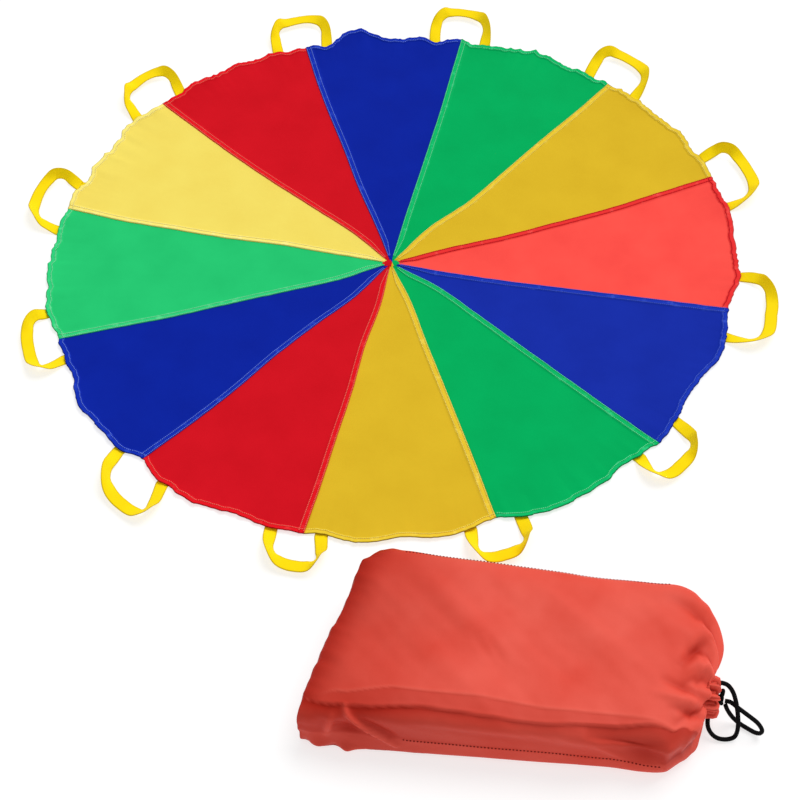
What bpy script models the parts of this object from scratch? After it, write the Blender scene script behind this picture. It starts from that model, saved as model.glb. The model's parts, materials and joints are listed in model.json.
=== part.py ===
"""A play parachute laid out on the floor, with its drawstring bag beside it.

Twelve wedges of nylon, the gores, are joined by felled seams and meet in a sewn bundle at the crown.
A folded hem runs round the rim. At the end of each seam a loop of webbing is sewn under the hem as a
handle. The bag is a stuffed nylon sack whose mouth is gathered by a cord in a casing.

Metres, +Z up. The origin is on the floor under the middle of the crown.
"""
import math

import bmesh
import bpy
from mathutils import Matrix, Vector

# Canopy
canopy_radius = 0.900
gore_count = 12
first_seam_deg = 104.4
cloth_thickness = 0.0010
hem_width = 0.015
hem_thickness = 0.0024
felled_seam_width = 0.013
fold_slope_width = 0.0015
seam_gap = 0.0004
hem_rise_length = 0.060
pucker_depth = 0.0020
pucker_height = 0.0040
puckers_per_gore = 4
pucker_phase_step_deg = 137.5
pucker_middle_power = 6
seam_strip_limit_share = 0.4
fold_slope_limit_share = 0.1

# The seams as they lie: how far each is pushed round the rim, as a share of one gore's angle, and how far
# it reaches, as a share of the canopy's radius. Slack cloth takes a little off some of them.
seam_push_shares = (-0.04, 0.03, 0.03, 0.05, 0.045, -0.005, 0.0, 0.005, -0.005, -0.035, -0.035, -0.04)
seam_reach_shares = (1.006, 1.014, 1.025, 1.030, 0.995, 1.005, 0.970, 0.994, 0.978, 0.994, 1.013, 1.017)
# How far each gore's rim lies beyond the line between its seam ends, at even steps from its first seam to
# its second, as shares of the canopy's radius. The first gore's hem stands up in a bump.
rim_shape_shares = (
    (-0.018, 0.032, 0.040, -0.011, -0.018, -0.004, -0.024),
    (-0.019, -0.017, -0.004, 0.012, -0.003, -0.006, -0.007),
    (0.008, 0.003, -0.003, 0.001, 0.010, -0.001, 0.003),
    (-0.003, 0.007, 0.005, 0.002, 0.006, 0.016, 0.010),
    (0.002, 0.009, 0.005, -0.013, -0.020, -0.013, -0.002),
    (-0.002, -0.005, 0.012, 0.018, 0.025, 0.025, 0.017),
    (0.013, 0.023, 0.017, 0.005, 0.015, 0.017, 0.003),
    (0.007, 0.012, 0.004, 0.019, 0.028, 0.024, 0.024),
    (0.028, 0.020, 0.024, 0.028, 0.012, 0.001, 0.000),
    (0.009, 0.016, 0.011, 0.011, 0.012, 0.005, 0.006),
    (0.007, -0.002, 0.006, -0.001, 0.008, 0.021, 0.009),
    (0.000, 0.014, 0.002, 0.010, 0.006, 0.008, 0.000))

# Crown, the sewn bundle of the twelve gore tips
crown_half_length = 0.022
crown_half_width = 0.011
crown_height = 0.0040
crown_top_share = 0.7
crown_gap = 0.0004
crown_sides = 24

# Webbing handles
webbing_width = 0.032
webbing_thickness = 0.0015
sewn_end_length = 0.026
sewn_end_overhang = 0.0005
sewn_end_clearance = 0.0004
sewn_end_margin = 0.006
loop_gap = 0.0004
loop_stand = 0.012
handle_foot_spacing = 0.168
handle_reach = 0.125

# The handles as they lie: the distance between each one's feet, how far its middle lies anticlockwise of
# the seam and how far its loop leans the same way, as shares of the usual foot spacing, and how far the
# loop lies out, as a share of the usual reach.
foot_spacing_shares = (0.86, 0.88, 0.93, 1.15, 1.28, 0.87, 0.75, 0.73, 0.93, 1.02, 1.04, 0.91)
handle_offset_shares = (0.13, -0.04, -0.07, -0.10, 0.04, 0.05, -0.02, -0.12, 0.07, -0.06, -0.04, 0.09)
handle_lean_shares = (-0.10, 0.09, 0.15, 0.05, -0.12, -0.22, -0.08, 0.14, 0.35, 0.19, -0.17, -0.23)
handle_reach_shares = (1.05, 0.98, 1.01, 0.89, 0.97, 0.81, 1.03, 0.93, 1.17, 0.75, 0.91, 1.09)
# A loop's middle line, foot to foot: outward as a share of its reach, sideways as a share of half the foot
# spacing, and the share of its roll. The ribbon rolls on edge at its two corners and lies flat between.
loop_path_shares = (
    (0.00, 1.00, 0.00), (0.22, 1.03, 0.25), (0.46, 1.04, 0.45), (0.68, 0.97, 1.00), (0.86, 0.78, 0.85),
    (0.96, 0.48, 0.20), (1.00, 0.12, 0.05), (0.99, -0.26, 0.05), (0.92, -0.60, 0.25), (0.76, -0.88, 0.60),
    (0.52, -1.03, 0.60), (0.24, -1.03, 0.30), (0.00, -1.00, 0.00))
loop_roll_deg = 64
loop_stations = 24

# Drawstring bag
bag_length = 0.810
bag_width = 0.430
bag_height = 0.160
bag_gap = 0.031
bag_aside = 0.207
bag_turn_deg = -11
bag_settle_height = 0.006
bag_back_share = 0.464
bag_back_height_share = 0.40
bag_back_rise_share = 0.10
bag_neck_start_share = 0.50
bag_mouth_width_share = 0.34
bag_end_skew_shares = (0.28, 0.12)
bag_top_width_share = 0.93
bag_base_boxy_share = 0.45
bag_mouth_height_share = 0.46
bag_mouth_side_share = -0.20
# The bag's sections from its closed end to its mouth: place along the length, half width, height and
# how boxy the section is, all as shares. A place past the mouth is a lobe that bulges beside it.
bag_section_shares = (
    (0.000, 0.00, 0.00, 0.3), (0.004, 1.00, 0.62, 0.3), (0.030, 1.05, 0.80, 0.3), (0.110, 1.06, 0.93, 0.3),
    (0.260, 1.04, 1.00, 0.3), (0.450, 1.02, 1.00, 0.3), (0.640, 0.99, 0.98, 0.3), (0.800, 0.97, 0.96, 0.35),
    (0.900, 0.95, 0.92, 0.4), (0.965, 0.90, 0.86, 0.5), (1.008, 0.78, 0.74, 0.6), (1.030, 0.52, 0.60, 0.8),
    (1.000, 0.34, 0.60, 1.0), (1.000, 0.00, 0.00, 1.0))
bag_around = 24
casing_length = 0.030
casing_radius = 0.044
casing_flute_share = 0.10
casing_flutes = 10
casing_gap = 0.0004

# Drawstring: a pull loop that leaves the casing and enters it again, and a bow tied beside it. Each point is
# the distance out of the mouth, the distance across it and the height above the floor.
cord_diameter = 0.010
cord_gap = 0.0004
knot_length = 0.0192
knot_width = 0.028
knot_height_share = 0.41
pull_loop_route = (
    (0.0005, 0.024, 0.098), (0.012, 0.024, 0.099), (0.024, 0.020, 0.098), (0.035, 0.009, 0.092),
    (0.043, -0.006, 0.081), (0.049, -0.021, 0.064), (0.053, -0.034, 0.044), (0.054, -0.044, 0.024),
    (0.050, -0.052, 0.010), (0.040, -0.057, 0.0056), (0.027, -0.060, 0.0056), (0.013, -0.060, 0.008),
    (0.001, -0.056, 0.014), (-0.008, -0.049, 0.024), (-0.0115, -0.041, 0.0335), (-0.012, -0.0325, 0.0420))
bow_route = (
    (0.0206, 0.000, 0.066), (0.034, -0.002, 0.066), (0.054, -0.012, 0.059), (0.076, -0.023, 0.052),
    (0.095, -0.032, 0.043), (0.106, -0.039, 0.028), (0.103, -0.039, 0.013), (0.092, -0.034, 0.0060),
    (0.076, -0.026, 0.0056), (0.058, -0.017, 0.008), (0.042, -0.010, 0.019), (0.030, -0.005, 0.036),
    (0.0235, -0.002, 0.052))
pull_loop_points = 16
bow_points = 16


def direction(degrees):
    """A unit vector on the floor, counted anticlockwise from +X."""
    angle = math.radians(degrees)
    return Vector((math.cos(angle), math.sin(angle), 0.0))


def smooth_step(value):
    value = min(max(value, 0.0), 1.0)
    return value * value * (3.0 - 2.0 * value)


def blend(first, second, share):
    return first + (second - first) * share


def through_points(points, share):
    """A point on the smooth curve through the points, at a share of the way from first to last."""
    place = share * (len(points) - 1)
    left = min(int(place), len(points) - 2)
    step = place - left
    before = points[max(left - 1, 0)]
    start = points[left]
    end = points[left + 1]
    after = points[min(left + 2, len(points) - 1)]
    found = []
    for a, b, c, d in zip(before, start, end, after):
        found.append(b + 0.5 * step * (c - a + step * (2 * a - 5 * b + 4 * c - d + step * (3 * (b - c) + d - a))))
    return found


def clear_scene():
    for item in list(bpy.data.objects):
        bpy.data.objects.remove(item, do_unlink=True)


def make_material(name, color, roughness, metallic=0.0):
    material = bpy.data.materials.new(name)
    material.use_nodes = True
    shader = material.node_tree.nodes["Principled BSDF"]
    shader.inputs["Base Color"].default_value = (*color, 1.0)
    shader.inputs["Roughness"].default_value = roughness
    shader.inputs["Metallic"].default_value = metallic
    return material


def make_collection(name):
    collection = bpy.data.collections.new(name)
    bpy.context.scene.collection.children.link(collection)
    return collection


def object_from_bmesh(name, shape, material, collection):
    mesh = bpy.data.meshes.new(name)
    shape.to_mesh(mesh)
    shape.free()
    mesh.materials.append(material)
    item = bpy.data.objects.new(name, mesh)
    collection.objects.link(item)
    return item


def shade_round(item, sharp_deg=40):
    item.data.shade_smooth()
    item.data.set_sharp_from_angle(angle=math.radians(sharp_deg))


def grid_cell(vert, across, along):
    """Which column and row of a unit grid a vertex stands in."""
    return round((vert.co.x + 1.0) / 2.0 * across), round((vert.co.y + 1.0) / 2.0 * along)


# Canopy geometry

gore_deg = 360.0 / gore_count
hem_lift = webbing_thickness + sewn_end_clearance
hem_flat_length = sewn_end_length + sewn_end_margin


def seam_deg(seam):
    seam = seam % gore_count
    return first_seam_deg - gore_deg * (seam - seam_push_shares[seam])


def seam_reach(seam):
    return canopy_radius * seam_reach_shares[seam % gore_count]


def gore_span_deg(gore):
    """The angle between a gore's two seams, clockwise from its first."""
    return (seam_deg(gore) - seam_deg(gore + 1)) % 360.0


def seam_end(seam):
    return direction(seam_deg(seam)) * seam_reach(seam)


def pucker_window(share):
    """How free the hem is to pucker: not at all over the handles' sewn ends, most halfway between seams."""
    return math.sin(math.pi * share) ** pucker_middle_power


def pucker_wave(gore, share):
    """The hem's puckers, from -1 to 1, which die away towards both seams."""
    phase = math.radians(pucker_phase_step_deg) * gore
    return pucker_window(share) * math.sin(2.0 * math.pi * puckers_per_gore * share + phase)


def rim_radius(gore, share):
    line = blend(seam_reach(gore), seam_reach(gore + 1), share)
    shares = [(0.0,)] + [(step,) for step in rim_shape_shares[gore % gore_count]] + [(0.0,)]
    beyond = canopy_radius * through_points(shares, share)[0]
    return line + beyond + pucker_depth * pucker_wave(gore, share)


def crown_radius_at(degrees):
    """The crown's outline, an ellipse that is longer from left to right."""
    angle = math.radians(degrees)
    across = crown_half_width * math.cos(angle)
    along = crown_half_length * math.sin(angle)
    return crown_half_length * crown_half_width / math.hypot(across, along)


def cloth_height(gore, share, inward):
    """How high the cloth's underside lies, at a distance inward of the rim."""
    raised = 1.0 - smooth_step((inward - hem_flat_length) / hem_rise_length)
    pucker = 0.5 * pucker_height * (pucker_wave(gore, share) + pucker_window(share))
    return raised * (hem_lift + pucker)


plain_columns = 8
row_shares = (0.0, 0.10, 0.30, 0.54, 0.80, 1.0)


def gore_columns(arc):
    """Distances along a row from the first seam: the felled seam's strip, its slope, then the plain cloth."""
    start = 0.5 * seam_gap
    end = arc - 0.5 * seam_gap
    strip = min(felled_seam_width, seam_strip_limit_share * (end - start))
    slope = min(fold_slope_width, fold_slope_limit_share * (end - start))
    first_plain = start + strip + slope
    places = [start, start + strip]
    for step in range(plain_columns + 1):
        places.append(blend(first_plain, end, step / plain_columns))
    return places


def gore_rows():
    """Each row as a share of the way to the hem's flat stretch, or as a distance inward of the rim."""
    rise_start = hem_flat_length + hem_rise_length
    rows = [("share", share) for share in row_shares]
    rows += [("inward", hem_flat_length), ("inward", hem_width + fold_slope_width)]
    rows += [("inward", hem_width), ("inward", 0.0)]
    return rise_start, rows


def gore_point(gore, row, column):
    """A point of the cloth's underside, and how thick the cloth is there as a share of the hem."""
    rise_start, rows = gore_rows()
    kind, value = rows[row]
    span = gore_span_deg(gore)
    columns = plain_columns + 3
    guess = column / (columns - 1)
    for _ in range(3):
        degrees = seam_deg(gore) - guess * span
        rim = rim_radius(gore, guess)
        inner = crown_radius_at(degrees) + crown_gap
        if kind == "share":
            radius = blend(inner, rim - rise_start, value)
        else:
            radius = rim - value
        arc = radius * math.radians(span)
        guess = gore_columns(arc)[column] / arc
    degrees = seam_deg(gore) - guess * span
    point = direction(degrees) * radius
    point.z = cloth_height(gore, guess, rim - radius)
    in_hem = kind == "inward" and value <= hem_width
    in_seam = column <= 1
    return point, 1.0 if in_hem or in_seam else 0.0


def make_gore(gore, material, collection):
    """One wedge of cloth, an open sheet that Solidify thickens, more in the hem and the felled seam."""
    across = plain_columns + 2
    along = len(gore_rows()[1]) - 1
    shape = bmesh.new()
    bmesh.ops.create_grid(shape, x_segments=across, y_segments=along, size=1.0)
    weights = shape.verts.layers.deform.verify()
    for vert in shape.verts:
        column, row = grid_cell(vert, across, along)
        vert.co, thick = gore_point(gore, row, across - column)
        vert[weights][0] = thick
    bmesh.ops.recalc_face_normals(shape, faces=shape.faces)
    if shape.faces[:][0].normal.z < 0.0:
        bmesh.ops.reverse_faces(shape, faces=shape.faces)
    item = object_from_bmesh(f"gore_{gore + 1:02d}", shape, material, collection)
    group = item.vertex_groups.new(name="thick")
    solid = item.modifiers.new("cloth", "SOLIDIFY")
    solid.thickness = hem_thickness
    solid.offset = 1.0
    solid.use_even_offset = False
    solid.vertex_group = group.name
    solid.thickness_vertex_group = cloth_thickness / hem_thickness
    return item


def make_crown(material, collection):
    """The bundle of tips: a low oval button, flat underneath."""
    shape = bmesh.new()
    bmesh.ops.create_cone(shape, cap_ends=True, segments=crown_sides, radius1=1.0, radius2=crown_top_share,
                          depth=1.0)
    size = Matrix.Diagonal((crown_half_length, crown_half_width, crown_height, 1.0))
    bmesh.ops.transform(shape, matrix=size, verts=shape.verts)
    bmesh.ops.translate(shape, vec=(0.0, 0.0, 0.5 * crown_height), verts=shape.verts)
    item = object_from_bmesh("crown_bundle", shape, material, collection)
    shade_round(item)
    return item


# Handles

def handle_frame(handle):
    """Outward and sideways directions at the end of the handle's seam, and that end."""
    outward = direction(seam_deg(handle))
    sideways = Vector((-outward.y, outward.x, 0.0))
    return seam_end(handle), outward, sideways


def rim_points_beside(handle):
    """The rim's corners on both sides of a seam end, as outward and sideways distances from it."""
    end, outward, sideways = handle_frame(handle)
    last_row = len(gore_rows()[1]) - 1
    found = []
    for gore in ((handle - 1) % gore_count, handle):
        for column in range(plain_columns + 3):
            offset = gore_point(gore, last_row, column)[0] - end
            found.append((offset.dot(sideways), offset.dot(outward)))
    return sorted(found)


def rim_reaches(handle, low_side, high_side):
    """The rim's outward distances over a stretch beside the seam end."""
    points = rim_points_beside(handle)
    found = [out for side, out in points if low_side < side < high_side]
    for edge in (low_side, high_side):
        for (side_a, out_a), (side_b, out_b) in zip(points, points[1:]):
            if side_a <= edge <= side_b and side_b > side_a:
                found.append(blend(out_a, out_b, (edge - side_a) / (side_b - side_a)))
    return found


def handle_sides(handle):
    """How far a handle's middle lies anticlockwise of its seam, and half the distance between its feet."""
    offset = handle_foot_spacing * handle_offset_shares[handle]
    return offset, 0.5 * handle_foot_spacing * foot_spacing_shares[handle]


def foot_sides(handle):
    """Where a handle's two feet stand beside the seam, the anticlockwise one first."""
    offset, half = handle_sides(handle)
    return offset + half, offset - half


def sewn_end_reach(handle, side):
    """Where the sewn end of one foot stops: just past the rim, all across the webbing."""
    half = 0.5 * webbing_width
    return max(rim_reaches(handle, side - half, side + half)) + sewn_end_overhang


def loop_starts(handle):
    """Where the free webbing begins at both feet: a small gap beyond its sewn ends."""
    return [sewn_end_reach(handle, side) + loop_gap for side in foot_sides(handle)]


def hinge_line(handle):
    """The line about which a loop swings: at the hem's top and edge, through both feet."""
    end, outward, sideways = handle_frame(handle)
    feet = []
    for side, start in zip(foot_sides(handle), loop_starts(handle)):
        feet.append(end + outward * start + sideways * side)
    middle = 0.5 * (feet[0] + feet[1])
    middle.z = hem_lift + hem_thickness
    return middle, (feet[0] - feet[1]).normalized()


def loop_line(handle):
    """The middle line of a loop as outward, sideways and roll values, foot to foot."""
    reach = handle_reach * handle_reach_shares[handle] - 0.5 * webbing_width
    offset, half = handle_sides(handle)
    lean = handle_foot_spacing * handle_lean_shares[handle]
    starts = loop_starts(handle)
    points = []
    for index, (out_share, side_share, roll_share) in enumerate(loop_path_shares):
        start = blend(starts[0], starts[1], index / (len(loop_path_shares) - 1))
        outward = blend(start, reach, out_share)
        sideways = offset + half * side_share + lean * out_share
        points.append((outward, sideways, math.radians(loop_roll_deg) * roll_share, out_share))
    return points


def ribbon_point(handle, share, edge):
    """A point of the ribbon: share of the way along it, and edge from -1 to 1 across it."""
    end, outward, sideways = handle_frame(handle)
    points = loop_line(handle)
    step = 0.25 / loop_stations
    out, side, roll, lift_share = through_points(points, share)
    before = through_points(points, max(share - step, 0.0))
    after = through_points(points, min(share + step, 1.0))
    along = Vector((after[0] - before[0], after[1] - before[1])).normalized()
    if share in (0.0, 1.0):
        along = Vector((1.0 if share == 0.0 else -1.0, 0.0))
    flat = 0.5 * webbing_width * math.cos(roll) * edge
    rise = 0.5 * webbing_width * math.sin(roll) * edge
    height = 0.5 * webbing_width * abs(math.sin(roll)) + 0.5 * webbing_thickness
    height += loop_stand * smooth_step(lift_share)
    out += -along.y * flat
    side += along.x * flat
    point = end + outward * out + sideways * side
    point.z = height + rise
    return point


def make_loop(handle, material, collection):
    """The free part of a handle: a flat ribbon of webbing bent into a D."""
    shape = bmesh.new()
    bmesh.ops.create_grid(shape, x_segments=loop_stations, y_segments=1, size=1.0)
    for vert in shape.verts:
        station, _ = grid_cell(vert, loop_stations, 1)
        vert.co = ribbon_point(handle, station / loop_stations, vert.co.y)
    item = object_from_bmesh(f"handle_{handle + 1:02d}", shape, material, collection)
    solid = item.modifiers.new("webbing", "SOLIDIFY")
    solid.thickness = webbing_thickness
    solid.offset = 0.0
    solid.use_even_offset = True
    return item


def make_sewn_end(handle, foot, material, collection):
    """One end of a handle's webbing, flat on the floor under the hem."""
    end, outward, sideways = handle_frame(handle)
    side = foot_sides(handle)[foot]
    outer = sewn_end_reach(handle, side)
    middle = end + outward * (outer - 0.5 * sewn_end_length) + sideways * side
    middle.z = 0.5 * webbing_thickness
    turn = Matrix((outward, sideways, Vector((0.0, 0.0, 1.0)))).transposed().to_4x4()
    size = Matrix.Diagonal((sewn_end_length, webbing_width, webbing_thickness, 1.0))
    shape = bmesh.new()
    bmesh.ops.create_cube(shape, size=1.0, matrix=Matrix.Translation(middle) @ turn @ size)
    side_name = ("left", "right")[foot]
    return object_from_bmesh(f"handle_{handle + 1:02d}_{side_name}_end", shape, material, collection)


# Bag

def bag_matrix():
    """The bag lies in front of the canopy, clear of the handles' usual reach."""
    ahead = canopy_radius + handle_reach + bag_gap + 0.5 * bag_width
    place = Matrix.Translation((bag_aside, -ahead, 0.0))
    return place @ Matrix.Rotation(math.radians(bag_turn_deg), 4, "Z")


def make_bag_body(material, collection):
    """A stuffed sack, lofted through its sections from a sphere's rings and settled flat on the floor."""
    rings = len(bag_section_shares) - 1
    shape = bmesh.new()
    bmesh.ops.create_uvsphere(shape, u_segments=bag_around, v_segments=rings, radius=1.0)
    for vert in shape.verts:
        ring = round(math.acos(min(max(-vert.co.z, -1.0), 1.0)) / math.pi * rings)
        place, wide, tall, boxy = bag_section_shares[ring]
        angle = math.atan2(vert.co.y, vert.co.x)
        cosine, sine = math.cos(angle), math.sin(angle)
        side_boxy = boxy if sine > 0.0 else boxy * blend(bag_base_boxy_share, 1.0, smooth_step(place))
        drawn_in = blend(1.0, bag_top_width_share, max(sine, 0.0))
        across = math.copysign(abs(cosine) ** side_boxy, cosine) * 0.5 * bag_width * wide * drawn_in
        up = math.copysign(abs(sine) ** side_boxy, sine) * 0.5 * bag_height * tall
        to_mouth = 0.0
        if place > bag_neck_start_share:
            to_mouth = min(max((1.0 - wide) / (1.0 - bag_mouth_width_share), 0.0), 1.0)
        place = min(place, 1.0) + max(place - 1.0, 0.0) * cosine * cosine
        floor_level = 0.5 * bag_height * tall
        middle = blend(floor_level, bag_height * bag_mouth_height_share, to_mouth)
        if place < bag_back_rise_share:
            middle = blend(bag_height * bag_back_height_share, floor_level, place / bag_back_rise_share)
        middle = max(middle, floor_level)
        skew = blend(bag_end_skew_shares[0], bag_end_skew_shares[1], place) * (1.0 - to_mouth)
        across += 0.5 * bag_width * bag_mouth_side_share * to_mouth
        along = bag_length * (place - bag_back_share) + skew * across
        height = middle + up
        vert.co = (along, across, 0.0 if height < bag_settle_height else height)
    bmesh.ops.transform(shape, matrix=bag_matrix(), verts=shape.verts)
    bmesh.ops.recalc_face_normals(shape, faces=shape.faces)
    item = object_from_bmesh("bag_body", shape, material, collection)
    shade_round(item, sharp_deg=60)
    return item


def bag_mouth_centre():
    """The middle of the bag's gathered end, in the bag's own frame."""
    return Vector((bag_length * (1.0 - bag_back_share), 0.5 * bag_width * bag_mouth_side_share,
                   bag_height * bag_mouth_height_share))


def make_casing(material, collection):
    """The gathered hem round the mouth that the cord runs in: a short fluted sleeve."""
    shape = bmesh.new()
    sides = 2 * casing_flutes
    bmesh.ops.create_cone(shape, cap_ends=True, segments=sides, radius1=1.0, radius2=1.0, depth=1.0)
    for vert in shape.verts:
        angle = math.atan2(vert.co.y, vert.co.x)
        flute = round(angle / (2.0 * math.pi) * sides) % 2
        radius = casing_radius * (1.0 - casing_flute_share * flute)
        vert.co.x *= radius
        vert.co.y *= radius
        vert.co.z *= casing_length
    centre = bag_mouth_centre()
    centre.x += casing_gap + 0.5 * casing_length
    turn = Matrix.Translation(centre) @ Matrix.Rotation(math.radians(90), 4, "Y")
    bmesh.ops.transform(shape, matrix=bag_matrix() @ turn, verts=shape.verts)
    item = object_from_bmesh("bag_casing", shape, material, collection)
    shade_round(item)
    return item


def cord_origin():
    """The middle of the casing's face, brought down to the floor: cord points are counted from here."""
    centre = bag_mouth_centre()
    return Vector((centre.x + casing_gap + casing_length, centre.y, 0.0))


def make_cord(name, route, count, material, collection):
    """A cord's free stretch: a round tube along the smooth curve through its route."""
    place = bag_matrix() @ Matrix.Translation(cord_origin())
    curve = bpy.data.curves.new(name, "CURVE")
    curve.dimensions = "3D"
    curve.bevel_depth = 0.5 * cord_diameter
    curve.bevel_resolution = 2
    curve.use_fill_caps = True
    spline = curve.splines.new("POLY")
    spline.points.add(count - 1)
    for index, point in enumerate(spline.points):
        found = place @ Vector(through_points(route, index / (count - 1)))
        point.co = (*found, 1.0)
    curve.materials.append(material)
    item = bpy.data.objects.new(name, curve)
    collection.objects.link(item)
    return item


def make_knot(material, collection):
    """The knot that holds the bow, tight against the casing's face."""
    shape = bmesh.new()
    bmesh.ops.create_uvsphere(shape, u_segments=12, v_segments=8, radius=0.5)
    size = Matrix.Diagonal((knot_length, knot_width, knot_width, 1.0))
    centre = cord_origin() + Vector((cord_gap + 0.5 * knot_length, 0.0, bag_height * knot_height_share))
    place = bag_matrix() @ Matrix.Translation(centre) @ size
    bmesh.ops.transform(shape, matrix=place, verts=shape.verts)
    item = object_from_bmesh("drawstring_knot", shape, material, collection)
    shade_round(item, sharp_deg=60)
    return item


def main():
    clear_scene()
    parachute = make_collection("play_parachute")
    cloths = (
        make_material("nylon_blue", (0.012, 0.030, 0.370), 0.45),
        make_material("nylon_green", (0.0, 0.440, 0.125), 0.45),
        make_material("nylon_yellow", (0.730, 0.500, 0.030), 0.45),
        make_material("nylon_red", (0.640, 0.010, 0.015), 0.45))
    webbing = make_material("webbing_yellow", (0.950, 0.680, 0.008), 0.70)
    bag_cloth = make_material("bag_nylon_red", (0.700, 0.065, 0.045), 0.40)
    cord = make_material("cord_black", (0.006, 0.006, 0.007), 0.60)
    for gore in range(gore_count):
        make_gore(gore, cloths[gore % len(cloths)], parachute)
    make_crown(cloths[0], parachute)
    for handle in range(gore_count):
        make_sewn_end(handle, 0, webbing, parachute)
        make_sewn_end(handle, 1, webbing, parachute)
        make_loop(handle, webbing, parachute)
    make_bag_body(bag_cloth, parachute)
    make_casing(bag_cloth, parachute)
    make_cord("drawstring_pull_loop", pull_loop_route, pull_loop_points, cord, parachute)
    make_cord("drawstring_bow", bow_route, bow_points, cord, parachute)
    make_knot(cord, parachute)


main()
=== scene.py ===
# %% [markdown]
# A play parachute and its bag
#
# Twelve wedges of nylon, called gores, lie spread on the floor. Felled seams join them, a folded hem runs
# round the rim, and a loop of webbing is sewn under the hem at the end of each seam. The stuffed bag with
# its drawstring lies in front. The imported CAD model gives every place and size, and this script dresses it.
# A picture of cloth laid on the CAD's faces would be quicker, but it looks flat from close by and from the
# side. So puckers, stitches, creases and cord are shapes, and weave and dye are node trees.

# %% Tools and frame
import json
import math

import bmesh
import bpy
from mathutils import Matrix, Vector, noise
from mathutils.bvhtree import BVHTree

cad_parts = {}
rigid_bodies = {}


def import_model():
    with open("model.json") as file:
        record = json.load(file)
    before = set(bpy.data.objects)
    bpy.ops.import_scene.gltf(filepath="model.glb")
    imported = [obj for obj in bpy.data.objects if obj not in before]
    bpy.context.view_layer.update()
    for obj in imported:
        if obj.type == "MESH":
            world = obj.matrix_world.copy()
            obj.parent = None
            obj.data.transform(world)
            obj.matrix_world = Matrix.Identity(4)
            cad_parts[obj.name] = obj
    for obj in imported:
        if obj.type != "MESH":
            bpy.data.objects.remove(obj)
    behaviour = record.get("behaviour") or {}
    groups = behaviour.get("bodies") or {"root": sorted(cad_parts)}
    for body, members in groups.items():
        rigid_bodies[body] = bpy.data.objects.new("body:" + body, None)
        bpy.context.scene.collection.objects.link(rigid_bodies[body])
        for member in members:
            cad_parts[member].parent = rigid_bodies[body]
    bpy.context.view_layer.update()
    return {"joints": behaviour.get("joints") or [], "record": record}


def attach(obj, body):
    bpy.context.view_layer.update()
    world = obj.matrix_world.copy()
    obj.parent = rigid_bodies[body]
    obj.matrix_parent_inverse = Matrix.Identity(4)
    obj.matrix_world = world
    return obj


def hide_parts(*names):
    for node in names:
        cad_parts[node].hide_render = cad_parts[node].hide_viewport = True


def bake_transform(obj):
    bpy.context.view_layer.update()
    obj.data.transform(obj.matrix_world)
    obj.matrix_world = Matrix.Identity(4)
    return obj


for item in list(bpy.data.objects):
    bpy.data.objects.remove(item, do_unlink=True)
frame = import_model()
up = Vector((0.0, 0.0, 1.0))

# %% [markdown]
# The camera comes first, so that each later piece can be judged in the picture. It stands in front of the
# bag and looks down at about fifty degrees. The picture is turned a little anticlockwise, so the camera is
# rolled a little clockwise about its own line of sight. Three coordinates and three angles would do as well,
# but an aim, a distance and an elevation say what the camera does.

# %% Camera
camera_aim = Vector((0.0052, -0.4672, 0.0))
camera_distance = 4.815
camera_elevation_deg = 51.0
camera_roll_deg = 2.95
camera_lens_mm = 86.6

elevation = math.radians(camera_elevation_deg)
towards_viewer = Vector((0.0, -math.cos(elevation), math.sin(elevation)))
camera_data = bpy.data.cameras.new("camera")
camera_data.lens = camera_lens_mm
camera = bpy.data.objects.new("camera", camera_data)
bpy.context.scene.collection.objects.link(camera)
camera.matrix_world = (
    Matrix.Translation(camera_aim + towards_viewer * camera_distance)
    @ Matrix.Rotation(0.5 * math.pi - elevation, 4, "X")
    @ Matrix.Rotation(-math.radians(camera_roll_deg), 4, "Z"))
bpy.context.scene.camera = camera
print("camera at", [round(value, 3) for value in camera.matrix_world.translation])

# %% [markdown]
# Many shapes here are a flat grid of faces that is carried onto a curved path: a gore, a strap, a cord, the
# bag. They could be drawn by hand in the editor, but a grid that a formula places can be measured and made
# again with one value changed. The helpers below make such a grid, read a vertex's column and row in it,
# and find a point on the smooth curve through a few given points.


# %% Helpers for curves and grids
tiny = 1e-6


def direction(degrees):
    """A unit vector on the floor, counted anticlockwise from +X."""
    angle = math.radians(degrees)
    return Vector((math.cos(angle), math.sin(angle), 0.0))


def smooth_step(value):
    value = min(max(value, 0.0), 1.0)
    return value * value * (3.0 - 2.0 * value)


def ramp(value, start, end):
    """From 0 at the start to 1 at the end, eased at both."""
    return smooth_step((value - start) / (end - start))


def blend(first, second, share):
    return first + (second - first) * share


def ridge(distance, width):
    """A bell curve: 1 on the line and next to nothing at twice the width."""
    return math.exp(-(distance / width) ** 2)


def through_points(points, share):
    """A point on the smooth curve through the points, at a share of the way from first to last."""
    place = share * (len(points) - 1)
    left = min(int(place), len(points) - 2)
    step = place - left
    before = points[max(left - 1, 0)]
    start = points[left]
    end = points[left + 1]
    after = points[min(left + 2, len(points) - 1)]
    found = []
    for a, b, c, d in zip(before, start, end, after):
        bend = 2 * a - 5 * b + 4 * c - d + step * (3 * (b - c) + d - a)
        found.append(b + 0.5 * step * (c - a + step * bend))
    return found


def lengths_along(points):
    """How far each point lies from the first one, along the line through them all."""
    lengths = [0.0]
    for before, after in zip(points, points[1:]):
        lengths.append(lengths[-1] + (after - before).length)
    return lengths


def soft_wave(x, y, wavelength, seed):
    """Smooth random ripples from -1 to 1 with about that wavelength."""
    return noise.noise(Vector((x / wavelength, y / wavelength, seed)))


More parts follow.
